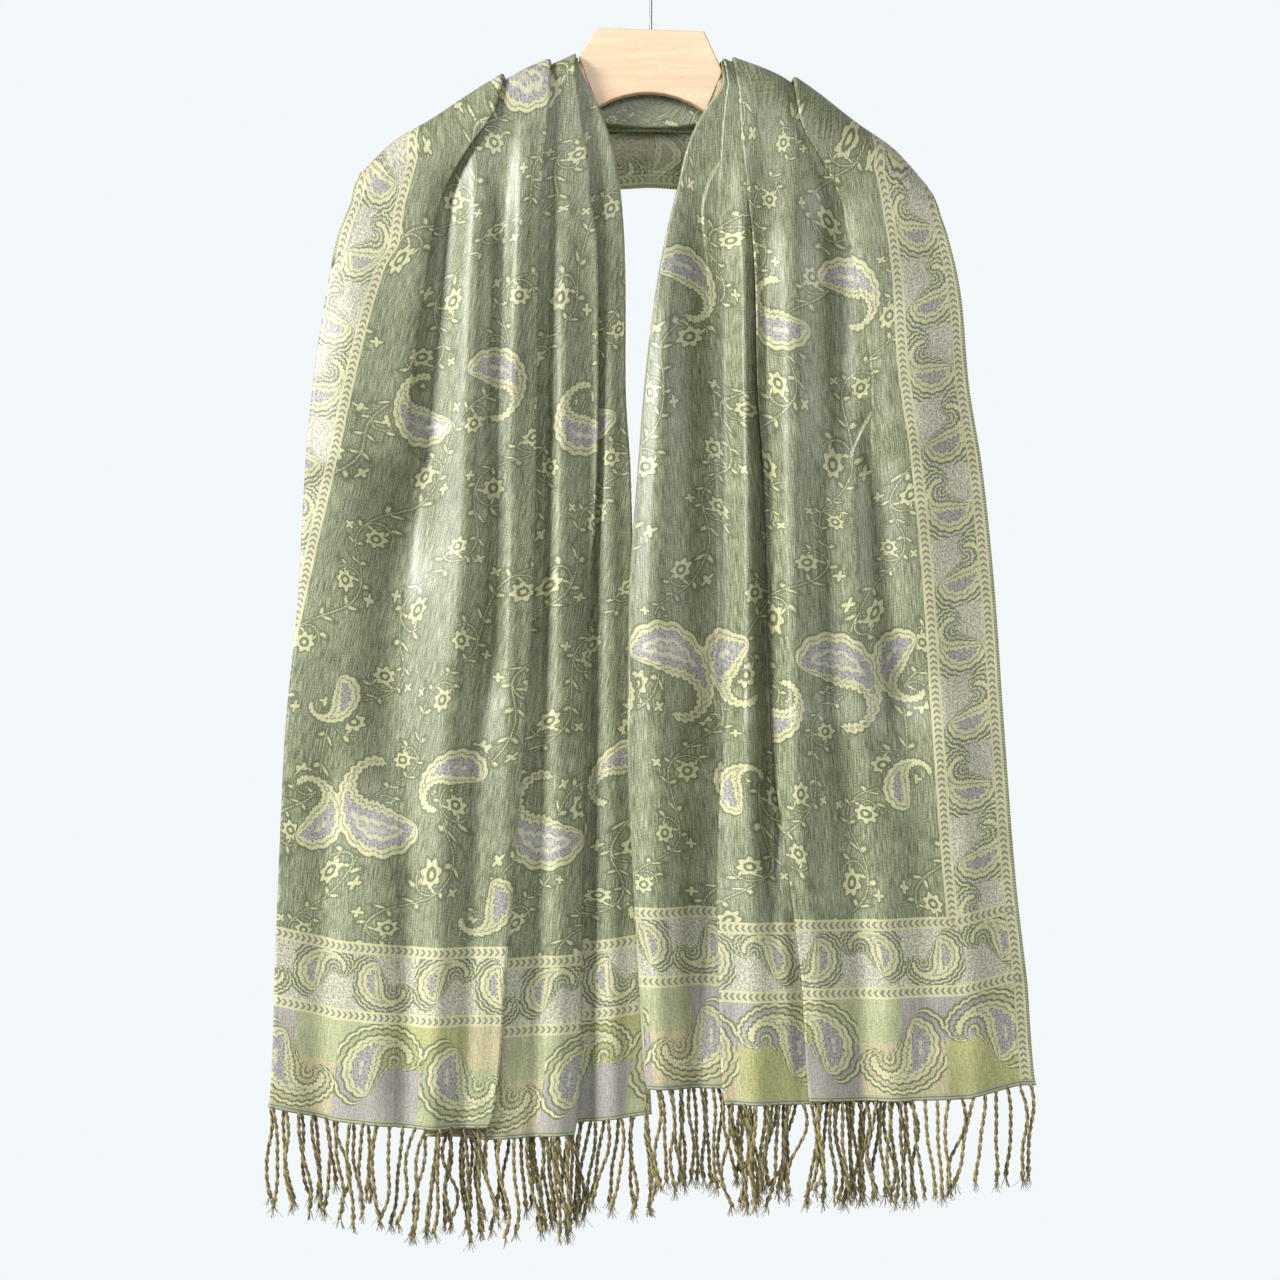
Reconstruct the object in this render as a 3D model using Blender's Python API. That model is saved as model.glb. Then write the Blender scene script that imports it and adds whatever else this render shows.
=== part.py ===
"""A jacquard shawl hung over a flat wooden hanger, as a stole is shown in a shop.

The shawl is one oblong of cloth, 0.70 m wide and 1.80 m long with a twisted fringe at
both ends. It is folded into knife pleats that run along its length, laid round the
hanger's neck, and both ends hang down in front. The model is in metres, with +Z up and
the front facing -Y. The origin is the inner crown of the hook, where a rail carries it.

Every section of the cloth is worked out in the same way. Eight layers lie on each other
from the inner fold at the neck to the outer edge, and each layer lies one ply above what
is under it. The tables give where the folds run, in millimetres.
"""

import math
from collections import namedtuple

import bmesh
import bpy
import numpy as np

MM = 0.001

# Driving sizes, in millimetres.
WALL = 1.2  # the modelled cloth, from face to face
PLY = 2.8  # from one folded layer to the next
SEAM = 0.3  # left between two stretches of the cloth
DRAPE_RADIUS = 9.0  # the innermost layer's bend over a shoulder
NECK_LEAN, SHOULDER_LEAN = -0.4, 0.5  # sideways step of the plies for each one upwards
HANG_BACK = 4.0  # how far the fronts swing back below the hanger
SWING_START = 45.0
SWING_LENGTH = 200.0
PLATE_TOP = 75.0  # from the hook's inner crown down to the neck plate's top
OUTER_STACK = 0.35  # share of the plies' spacing that is left at the outer edge
STACK_THINS = 0.2  # where along a section the spacing starts to shrink
FOLD_CLEAR = 14.0  # the broad rolls fade out this near to a fold that lies flat
LAP_LIMIT = 0.74  # how far along a section the outermost hidden fold may reach

# Shoulder line that the innermost layer follows: (x, drop) at the neck and at the tip.
LEFT_NECK, LEFT_TIP = (-56.4, 23.0), (-216.0, 116.0)
RIGHT_NECK, RIGHT_TIP = (56.6, 33.0), (205.0, 125.0)

# Fold lines of the front panels. Every drop is below the neck plate's top, every x from
# the hanger's middle. Fold 1 is the edge that the border's segment shows at the
# shoulder, folds 2 and 3 are the next knife pleats and inner is the neck edge.
Lines = namedtuple("Lines", "drop outer fold1 fold2 fold3 inner")
LEFT_LINES = (
    Lines(14, -216, -82, -74, -61, -56),
    Lines(48, -216, -101, -76, -55, -44),
    Lines(86, -216, -132, -79, -50, -30),
    Lines(122, -220, -154, -82, -46, -23),
    Lines(145, -230, -161, -83, -43, -21),
    Lines(160, -236, -164, -84, -41, -20),
    Lines(205, -244, -171, -85, -40, -19),
    Lines(265, -253, -179, -86, -40, -19),
    Lines(340, -260, -184, -87, -41, -15),
    Lines(430, -265, -187, -89, -46, -13),
    Lines(535, -275, -188, -96, -49, -10),
    Lines(640, -280, -190, -103, -51, -6),
    Lines(738, -284, -191, -112, -53, -2),
    Lines(830, -289, -193, -125, -59, 1),
)
RIGHT_LINES = (
    Lines(32, 205, 84, 67, 61, 56.6),
    Lines(48, 205, 90, 66, 57, 49),
    Lines(86, 205, 118, 68, 53, 29),
    Lines(130, 211, 143, 73, 51, 18),
    Lines(155, 222, 147, 76, 53, 12),
    Lines(205, 233, 157, 79, 58, 3),
    Lines(265, 238, 165, 80, 61, -4),
    Lines(340, 250, 167, 85, 64, -10),
    Lines(430, 259, 173, 88, 65, -16),
    Lines(535, 266, 179, 91, 55, -17),
    Lines(640, 274, 185, 104, 50, -13),
    Lines(738, 285, 193, 115, 52, -7),
    Lines(830, 293, 200, 121, 59, 1),
)

# How far each fold's hidden part reaches under the layer over it. A negative lap is a
# pleat that has opened out into a soft slope. wrap is the outer edge turned to the back,
# tuck the neck edge turned under, lift how far the neck edge stands forward.
Laps = namedtuple("Laps", "drop lap1 lap2 lap3 wrap tuck lift")
LEFT_LAPS = (
    Laps(14, 60, 50, 38, -12, 110, 0),
    Laps(126, 52, 50, 36, -12, 120, 0),
    Laps(165, 46, 50, 34, 10, 126, 0),
    Laps(250, 30, 48, 32, 22, 136, -1),
    Laps(300, 10, 48, 32, 28, 142, -2),
    Laps(335, -18, 48, 32, 34, 146, -3),
    Laps(430, -18, 47, 32, 50, 150, -4),
    Laps(640, -18, 47, 34, 72, 150, -4),
    Laps(835, -18, 47, 34, 88, 146, -4),
)
RIGHT_LAPS = (
    Laps(14, 60, 50, 38, -12, 105, 8),
    Laps(90, 55, 52, 22, -12, 108, 7),
    Laps(120, 50, 54, 8, -12, 114, 5),
    Laps(145, 45, 56, -8, -12, 122, 4),
    Laps(170, 40, 57, -14, -12, 128, 4),
    Laps(250, 20, 58, -14, -12, 148, 4),
    Laps(298, -8, 58, -14, -12, 156, 6),
    Laps(330, -18, 60, -14, -12, 160, 8),
    Laps(490, -18, 64, -14, -12, 158, 11),
    Laps(560, -18, 66, 8, -12, 146, 11),
    Laps(640, -18, 70, 34, -12, 124, 11),
    Laps(835, -18, 78, 58, -12, 62, 11),
)

# Broad soft rolls of a panel, each along a line from its top to its foot.
Roll = namedtuple("Roll", "x_top drop_top x_foot drop_foot half_width height")
LEFT_ROLLS = (
    Roll(-214, 150, -264, 520, 24, 4.5),
    Roll(-122, 150, -160, 840, 22, 5.0),
    Roll(-66, 190, -86, 840, 12, 2.5),
)
RIGHT_ROLLS = (
    Roll(14, 170, 12, 760, 20, 5.0),
    Roll(73, 110, 76, 840, 10, 5.0),
    Roll(108, 120, 112, 700, 17, 5.0),
    Roll(180, 190, 224, 840, 27, 5.5),
)

# Where the hem hangs, below the plate's top: at the outer edge, in the middle of each
# segment, and at its inner fold, in the order of the layers from the neck outwards.
Hem = namedtuple("Hem", "tuck inner seg3 fold3 seg2 fold2 seg1 fold1 seg0 outer wrap")
LEFT_HEM = Hem(822, 818, 824, 832, 836, 826, 827, 826, 822, 812, 806)
RIGHT_HEM = Hem(794, 797, 797, 808, 808, 805, 806, 805, 804, 795, 795)

# Rows of the fronts: distance below the shoulder line, along the cloth's outer edge. Where
# a pleat opens out, one row lies just where its lap is nothing.
ARC_ROWS = (0.15, 4.7, 9.4, 14.2)
LEFT_ROWS = ARC_ROWS + (26, 42, 58, 72, 92, 120, 158, 190, 214, 240, 300, 390, 490, 600, 1000)
RIGHT_ROWS = ARC_ROWS + (26, 38, 50, 64, 92, 130, 164, 182, 206, 300, 404, 440, 520, 620, 1000)

# Sections across the back of the neck, from the left shoulder to the right one: ends of
# the innermost layer and how far the section has come from the shoulder's folds (0) to
# those behind the neck (1).
Across = namedtuple("Across", "neck_x neck_drop foot_x foot_drop share")
BACK_ROWS = (
    Across(-56.1, 24.4, -215.5, 117.4, 0.0),
    Across(-55.3, 28.2, -214, 121.4, 0.02),
    Across(-52.4, 33.5, -210, 128, 0.06),
    Across(-46, 36, -190, 134, 0.25),
    Across(-38, 38, -150, 131, 0.6),
    Across(-21, 39, -80, 121, 0.9),
    Across(0, 39, 0, 116, 1),
    Across(21, 40, 78, 122, 0.9),
    Across(38, 43, 140, 134, 0.6),
    Across(47, 44, 180, 141, 0.25),
    Across(52.5, 43.5, 199, 137, 0.06),
    Across(54.3, 38.2, 203, 130.4, 0.02),
    Across(54.8, 34.5, 204.5, 126.4, 0.0),
)
BACK_FOLDS = (0.30, 0.17, 0.07)  # folds 1 to 3 behind the neck, as shares of the section
BACK_LAPS = Laps(0, 10, 18, 26, -12, 33, 0)

# Points along each layer, from the tucked neck edge to the outer edge turned behind.
LAYER_POINTS = (2, 5, 2, 6, 2, 8, 2, 9, 3)
TURN_ANGLES = (-0.9, 0.9)

# Fringe.
STRANDS = 74
STRAND_RADIUS = 1.05
STRAND_SIDES = 3
STRAND_LENGTH = 76.0
STRAND_SPREAD = 9.0
STRAND_CLEAR = 2.9
STRIP_HEIGHT = 2.4
ROOT_DEPTH = 1.4

# Hanger.
PLATE_THICKNESS = 12.0
PLATE_BEVEL = 1.0
ARCH_RISE = 12.5
ARM_RADIUS = DRAPE_RADIUS - WALL / 2 - 2 * SEAM
ARM_START, ARM_STEPS, ARM_SIDES = 40.0, 8, 10
ARM_NECK_RADIUS, ARM_WIDE_FROM = 5.2, 85.0
ARM_DEPTH_NECK, ARM_DEPTH_TIP = 34.0, 17.0
ARM_END_GAP = 9.0
WIRE_RADIUS = 1.05
HOOK_RADIUS = 19.0
HOOK_STEM_TOP = 26.0

COLOURS = {
    "cloth": (0.19, 0.21, 0.12, 1),
    "fringe": (0.11, 0.09, 0.04, 1),
    "wood": (0.80, 0.58, 0.40, 1),
    "wire": (0.45, 0.44, 0.42, 1),
}


def smooth(low, high, value):
    """0 below low, 1 above high and an even S between."""
    t = np.clip((value - low) / (high - low), 0, 1)
    return t * t * (3 - 2 * t)


def column(rows, name, drop):
    """A table's column, read at a drop."""
    return np.interp(drop, [row.drop for row in rows], [getattr(row, name) for row in rows])


class Side:
    """One front panel: its shoulder line, folds, laps, rolls and hem."""

    def __init__(self, neck, tip, lines, laps, rolls, hem):
        self.neck, self.tip = np.array(neck), np.array(tip)
        self.lines, self.laps, self.rolls, self.hem = lines, laps, rolls, hem


LEFT = Side(LEFT_NECK, LEFT_TIP, LEFT_LINES, LEFT_LAPS, LEFT_ROLLS, LEFT_HEM)
RIGHT = Side(RIGHT_NECK, RIGHT_TIP, RIGHT_LINES, RIGHT_LAPS, RIGHT_ROLLS, RIGHT_HEM)


def shoulder_drop(x):
    """Drop of the shoulder line at x. It is level between the two neck points."""
    ends = (LEFT_TIP, LEFT_NECK, RIGHT_NECK, RIGHT_TIP)
    line = np.interp(x, [end[0] for end in ends], [end[1] for end in ends])
    past_left = np.clip(LEFT_TIP[0] - x, 0, None)
    past_right = np.clip(x - RIGHT_TIP[0], 0, None)
    return line + 0.6 * (past_left + past_right)


def drop_along(distance):
    """How far below the shoulder line the cloth is, a distance along it from the line."""
    quarter = DRAPE_RADIUS * math.pi / 2
    bent = DRAPE_RADIUS * (1 - np.cos(np.minimum(distance, quarter) / DRAPE_RADIUS))
    return bent + np.maximum(distance - quarter, 0)


def place(x, drop, height, facing):
    """World point of a layer: height above the drape over the shoulder. facing is -1 in front."""
    slope = 1 - 0.14 * smooth(48, 58, np.abs(x))
    below = np.clip((drop - shoulder_drop(x)) * slope, 0, None)
    rise = np.clip(1 - below / DRAPE_RADIUS, 0, 1)
    reach = np.sqrt(1 - rise**2)
    swing = HANG_BACK * smooth(SWING_START, SWING_START + SWING_LENGTH, below)
    side = np.sign(x) * (NECK_LEAN + (SHOULDER_LEAN - NECK_LEAN) * smooth(56, 92, np.abs(x)))
    depth = DRAPE_RADIUS * reach - swing * (facing < 0)
    return np.stack(
        [
            x + height * rise * side,
            facing * (depth + height * reach),
            -PLATE_TOP - drop + height * rise * slope,
        ],
        axis=-1,
    )


def rolls_height(rolls, x, drop):
    """Height that the broad rolls and hollows add at a place."""
    total = np.zeros_like(x)
    for roll in rolls:
        share = (drop - roll.drop_top) / (roll.drop_foot - roll.drop_top)
        middle = roll.x_top + share * (roll.x_foot - roll.x_top)
        across = np.exp(-(((x - middle) / roll.half_width) ** 2))
        total = total + roll.height * across * smooth(-0.15, 0.2, share) * (1 - smooth(1, 1.3, share))
    return total


def layer_spans(length, folds, laps):
    """(start, end) of each layer along the section from the neck fold, inner layer first.

    The last span is the outer edge turned behind, which lies under all the others."""
    fold1, fold2, fold3 = folds
    outer = length + min(laps.wrap, 0)
    return (
        (laps.tuck, 0),
        (0, fold3 + laps.lap3),
        (fold3 + laps.lap3, fold3),
        (fold3, fold2 + laps.lap2),
        (fold2 + laps.lap2, fold2),
        (fold2, fold1 + laps.lap1),
        (fold1 + laps.lap1, fold1),
        (fold1, outer),
        (outer, length - max(laps.wrap, 0) if laps.wrap > 0 else length),
    )


def levels_of(laps):
    """How many plies each layer lies above the innermost one. An open pleat adds none."""
    levels = [0.0, 1.0]
    for lap in (laps.lap3, laps.lap2, laps.lap1):
        folded = float(smooth(-20, -5, lap))
        levels += [levels[-1] + folded, levels[-1] + 2 * folded]
    behind = float(smooth(-6, 0, laps.wrap))
    return levels + [levels[-1] * (1 - behind)]


def stack_height(level, along, length):
    """Height of a layer: its plies, which lie closer together towards the outer edge."""
    thinning = np.clip((along / length - STACK_THINS) / (1 - STACK_THINS), 0, 1) ** 2
    return PLY * level * (1 - (1 - OUTER_STACK) * thinning)


def puff_share(along, layer, folds, laps):
    """How much of the broad rolls a layer takes: all where it is seen, none where hidden."""
    edges = {1: (0, folds[2]), 3: (folds[2], folds[1]), 5: (folds[1], folds[0]), 7: (folds[0], 1e4)}
    lap = {0: 0, 1: laps.lap3, 2: laps.lap3, 3: laps.lap2, 4: laps.lap2, 5: laps.lap1, 6: laps.lap1}
    folded = {key: float(smooth(-20, -5, value)) for key, value in lap.items()}
    if layer == 0:
        return np.zeros_like(along)
    if layer == 8:
        return np.full_like(along, 1 - float(smooth(-6, 0, laps.wrap)))
    if layer in (2, 4, 6):
        return np.full_like(along, 1 - folded[layer])
    own, following = edges[layer]
    clear_of_own = 1 - folded.get(layer - 1, 0) * (1 - smooth(0, FOLD_CLEAR, along - own))
    clear_of_next = 1 - folded.get(layer, 0) * smooth(-FOLD_CLEAR, -2, along - following)
    return clear_of_own * clear_of_next


def section(length, folds, laps):
    """(along, height, layer, puff) of the cloth's middle line through all the layers.

    The third column counts the layers from 0 to 9, so that a hem can follow them, and
    the fourth is the share of the broad rolls that a point takes."""
    spans = layer_spans(length, folds, laps)
    levels = levels_of(laps)
    turned = [1] + [
        float(np.clip(lap / 6 + 0.5, 0, 1))
        for lap in (laps.lap3, laps.lap3, laps.lap2, laps.lap2, laps.lap1, laps.lap1, laps.wrap)
    ]
    points = []
    for layer, (start, end) in enumerate(spans):
        outwards = layer in (1, 3, 5, 7)
        way = 1 if outwards else -1
        low = start + way * PLY / 2 if layer else start
        high = end - way * PLY / 2 if layer < 8 else end
        if not outwards:
            low = start - PLY / 2 * (2 * turned[layer - 1] - 1) if layer else start
            high = end + PLY / 2 * (2 * turned[layer] - 1) if layer < 8 else end
        share = np.linspace(0, 1, LAYER_POINTS[layer])
        if layer in (1, 3, 5):
            seen = (folds[2 - layer // 2] - low) / (high - low)
            share[:-1] *= np.clip(seen / share[-2], 0.3, 1)
        along = low + (high - low) * share
        height = stack_height(levels[layer], along, length)
        puff = puff_share(along, layer, folds, laps)
        points += zip(along, height, layer + share, puff)
        if layer == 8:
            break
        following = float(stack_height(levels[layer + 1], end, length))
        next_puff = float(puff_share(np.array([float(end)]), layer + 1, folds, laps)[0])
        middle, half = (points[-1][1] + following) / 2, (following - points[-1][1]) / 2
        middle_puff, half_puff = (puff[-1] + next_puff) / 2, (next_puff - puff[-1]) / 2
        for angle in TURN_ANGLES:
            out = way * (math.cos(angle) * PLY / 2 - PLY / 2) * turned[layer]
            flat = math.sin(angle) * PLY / 3 * (1 - turned[layer])
            rise = math.sin(angle)
            points.append(
                (end + out + flat, middle + half * rise, layer + 1, middle_puff + half_puff * rise)
            )
    return np.array(points)


def offset_line(line, distance):
    """The section's line moved sideways by a distance."""
    before = np.diff(line, axis=0, prepend=2 * line[:1] - line[1:2])
    after = np.diff(line, axis=0, append=2 * line[-1:] - line[-2:-1])
    before /= np.linalg.norm(before, axis=1, keepdims=True)
    after /= np.linalg.norm(after, axis=1, keepdims=True)
    step = before + after
    step /= np.linalg.norm(step, axis=1, keepdims=True)
    stretch = 1 / np.clip(np.einsum("ij,ij->i", step, after), 0.72, 1)
    normal = np.stack([-step[:, 1], step[:, 0]], axis=1)
    return line + normal * (distance * stretch)[:, None]


def read_laps(rows, drop):
    return Laps(drop, *(float(column(rows, name, drop)) for name in Laps._fields[1:]))


class Row:
    """One section of the cloth: its two ends, folds and laps."""

    def __init__(self, inner, outer, folds, laps, facing, rolls=(), hem=None):
        self.inner, self.outer = np.array(inner, float), np.array(outer, float)
        self.length = float(np.linalg.norm(self.outer - self.inner))
        self.laps, self.facing, self.rolls, self.hem = laps, facing, rolls, hem
        self.line = section(self.length, folds, laps)

    def world(self, offset=0.0, lower=0.0):
        """Points of the section's line in mm, moved out by offset and down by lower."""
        moved = offset_line(self.line[:, :2], offset)
        share = moved[:, :1] / self.length
        flat = self.inner + (self.outer - self.inner) * share
        x, drop = flat[:, 0], flat[:, 1]
        if self.hem is not None:
            drop = np.interp(self.line[:, 2], *self.hem)
        lifted = self.laps.lift * (1 - moved[:, 0] / self.length)
        height = moved[:, 1] + lifted + self.line[:, 3] * rolls_height(self.rolls, x, drop)
        return place(x, drop + lower, height, self.facing)

    def ring(self):
        return np.concatenate([self.world(WALL / 2), self.world(-WALL / 2)[::-1]])


def hem_line(hem):
    """(layer, drop) pairs that give the hem's drop along the section."""
    layers = (0, 1, 1.5, 2.9, 3.6, 4.9, 5.6, 6.9, 7.5, 8, 9)
    return layers, hem


def front_row(side, distance):
    """The section of a front panel, a distance below the shoulder along its outer edge."""
    hem_inner, hem_outer = side.hem.inner, side.hem.outer
    outer_length = hem_outer - side.tip[1] + DRAPE_RADIUS * (math.pi / 2 - 1)
    inner_length = hem_inner - side.neck[1] + DRAPE_RADIUS * (math.pi / 2 - 1)
    at_hem = distance >= outer_length
    distance = min(distance, outer_length)
    share = max(distance - ARC_ROWS[-1], 0) / (outer_length - ARC_ROWS[-1])
    longer = (inner_length - outer_length) * (1 - (1 - share) ** 3)
    outer_drop = side.tip[1] + drop_along(distance)
    inner_drop = side.neck[1] + drop_along(distance + longer)
    near = 1 - smooth(0, 30, distance)
    inner_x = column(side.lines, "inner", inner_drop) * (1 - near) + side.neck[0] * near
    outer_x = column(side.lines, "outer", outer_drop) * (1 - near) + side.tip[0] * near
    inner, outer = np.array([inner_x, inner_drop]), np.array([outer_x, outer_drop])
    length = float(np.linalg.norm(outer - inner))
    folds = []
    for name in ("fold1", "fold2", "fold3"):
        along = 0.4
        for _ in range(8):
            drop = inner_drop + along * (outer_drop - inner_drop)
            along = (column(side.lines, name, drop) - inner_x) / (outer_x - inner_x)
        folds.append(float(along) * length)
    laps = read_laps(side.laps, (inner_drop + outer_drop) / 2)
    ridge_laps = side.laps[0]
    laps = Laps(0, *(a * (1 - near) + b * near for a, b in zip(laps[1:], ridge_laps[1:])))
    folds[2] = max(folds[2], 4.0)
    folds[1] = max(folds[1], folds[2] + 4.0)
    laps = laps._replace(lap1=min(laps.lap1, LAP_LIMIT * length - folds[0]))
    hem = hem_line(side.hem) if at_hem else None
    return Row(inner, outer, folds, laps, -1, side.rolls, hem)


def ridge_row(side, across=0.15):
    """The back's first section, on the other side of the seam over the shoulder."""
    front = front_row(side, across)
    row = Row(front.inner, front.outer, (1, 1, 1), front.laps, 1)
    row.line = front.line
    return row


def back_rows():
    """Sections across the back of the neck, from one shoulder to the other."""
    left, right = front_row(LEFT, SEAM / 2), front_row(RIGHT, SEAM / 2)
    rows = [ridge_row(LEFT, SEAM / 2)]
    for across in BACK_ROWS:
        inner = np.array([across.neck_x, across.neck_drop])
        outer = np.array([across.foot_x, across.foot_drop])
        length = float(np.linalg.norm(outer - inner))
        ridge = left if across.neck_x < 0 else right
        ridge_folds = ridge_shares(ridge)
        share = float(smooth(0, 1, across.share))
        folds = [
            length * (a * (1 - share) + b * share) for a, b in zip(ridge_folds, BACK_FOLDS)
        ]
        laps = Laps(
            0, *(a * (1 - share) + b * share for a, b in zip(ridge.laps[1:], BACK_LAPS[1:]))
        )
        rows.append(Row(inner, outer, folds, laps, 1))
    rows.append(ridge_row(RIGHT, SEAM / 2))
    return rows


def ridge_shares(row):
    """Where a shoulder's three folds lie along its section, as shares of it."""
    turns = [row.line[row.line[:, 2] == layer][:, 0].min() for layer in (7, 5, 3)]
    return [turn / row.length for turn in turns]


def loft(name, rings, material, closed_faces=True):
    """A closed solid through rings of equal numbers of points, in mm."""
    mesh = bmesh.new()
    loops = [[mesh.verts.new(point * MM) for point in ring] for ring in rings]
    count = len(loops[0])
    half = count // 2
    for lower, upper in zip(loops, loops[1:]):
        for k in range(count):
            following = (k + 1) % count
            mesh.faces.new((lower[k], lower[following], upper[following], upper[k]))
    for loop in (loops[0], loops[-1]):
        for k in range(half - 1):
            mesh.faces.new((loop[k], loop[k + 1], loop[count - 2 - k], loop[count - 1 - k]))
    bmesh.ops.recalc_face_normals(mesh, faces=mesh.faces)
    return finish_mesh(name, mesh, material)


def finish_mesh(name, mesh, material):
    """Makes the object, with its triangles fixed and its faces shaded smooth."""
    bmesh.ops.triangulate(mesh, faces=mesh.faces)
    if mesh.calc_volume(signed=True) < 0:
        bmesh.ops.reverse_faces(mesh, faces=mesh.faces)
    data = bpy.data.meshes.new(name)
    mesh.to_mesh(data)
    mesh.free()
    data.shade_smooth()
    data.set_sharp_from_angle(angle=math.radians(50))
    data.materials.append(material)
    obj = bpy.data.objects.new(name, data)
    PARTS.objects.link(obj)
    return obj


def make_material(name, colour, roughness, metallic=0.0):
    material = bpy.data.materials.new(name)
    material.use_nodes = True
    shader = material.node_tree.nodes["Principled BSDF"]
    shader.inputs["Base Color"].default_value = colour
    shader.inputs["Roughness"].default_value = roughness
    shader.inputs["Metallic"].default_value = metallic
    return material


def strand_places(row):
    """Plan positions of the strands along the hem, even in the cloth and clear of each other."""
    top = row.world(0.0, SEAM)
    steps = np.linalg.norm(np.diff(top[:, :2], axis=0), axis=1)
    length = np.concatenate([[0], np.cumsum(steps)])
    places = []
    for k in range(STRANDS):
        wanted = (k + 0.5) / STRANDS * length[-1]
        for shift in (0, 1.5, -1.5, 3, -3, 4.2, -4.2):
            point = np.array([np.interp(wanted + shift, length, top[:, i]) for i in range(3)])
            if all(np.hypot(*(point - other)[:2]) > STRAND_CLEAR for other in places):
                places.append(point)
                break
    return places


def make_fringe(name, side, material):
    """A narrow strip under the hem with the twisted cords' plain strands fused into it."""
    row = front_row(side, 1000)
    low, high = SEAM, SEAM + STRIP_HEIGHT
    rings = []
    for lower in (low, high):
        rings.append(
            np.concatenate([row.world(WALL / 2, lower), row.world(-WALL / 2, lower)[::-1]])
        )
    strip = loft(name, rings, material)
    strands = bmesh.new()
    for k, top in enumerate(strand_places(row)):
        lean = STRAND_SPREAD * (0.6 * math.sin(top[0] / 31.0) + 0.25 * math.sin(top[0] / 17.0 + 2))
        length = STRAND_LENGTH + 5 * math.sin(k * 2.4) + 3 * math.sin(k * 0.7)
        levels = (STRIP_HEIGHT - ROOT_DEPTH, length)
        shifts = (0.0, 0.5 * lean)
        corners = []
        for level, shift in zip(levels, shifts):
            ring = []
            for corner in range(STRAND_SIDES):
                turn = 2 * math.pi * corner / STRAND_SIDES + math.pi / 2
                ring.append(
                    strands.verts.new(
                        (
                            (top[0] + shift + STRAND_RADIUS * math.cos(turn)) * MM,
                            (top[1] + STRAND_RADIUS * math.sin(turn)) * MM,
                            (top[2] - level) * MM,
                        )
                    )
                )
            corners.append(ring)
        for upper, lower in zip(corners, corners[1:]):
            for corner in range(STRAND_SIDES):
                following = (corner + 1) % STRAND_SIDES
                strands.faces.new(
                    (upper[corner], upper[following], lower[following], lower[corner])
                )
        strands.faces.new(corners[0])
        strands.faces.new(corners[-1])
    bmesh.ops.recalc_face_normals(strands, faces=strands.faces)
    cutter_mesh = bpy.data.meshes.new(name + "_strands")
    strands.to_mesh(cutter_mesh)
    strands.free()
    cutter = bpy.data.objects.new(name + "_strands", cutter_mesh)
    cutter.hide_render = True
    cutter.display_type = "WIRE"
    CUTTERS.objects.link(cutter)
    join = strip.modifiers.new("join_strands", "BOOLEAN")
    join.operation = "UNION"
    join.object = cutter
    return strip


def arm_ring(x, drop, depth):
    """Upright section of a hanger arm: a rounded bar, its top just under the cloth."""
    points = []
    top = drop + (WALL / 2 + 2 * SEAM) / 0.86
    widening = float(smooth(ARM_START, ARM_WIDE_FROM, abs(x)))
    half_width = ARM_NECK_RADIUS + (ARM_RADIUS - ARM_NECK_RADIUS) * widening
    for k in range(ARM_SIDES):
        turn = 2 * math.pi * k / ARM_SIDES
        y = half_width * math.cos(turn)
        if math.sin(turn) >= 0:
            down = top + ARM_RADIUS * (1 - math.sin(turn)) / 0.86
        else:
            down = top + depth - ARM_RADIUS * 0.6 * (1 + math.sin(turn))
        points.append(np.array([x, y, -PLATE_TOP - down]))
    return points


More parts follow.
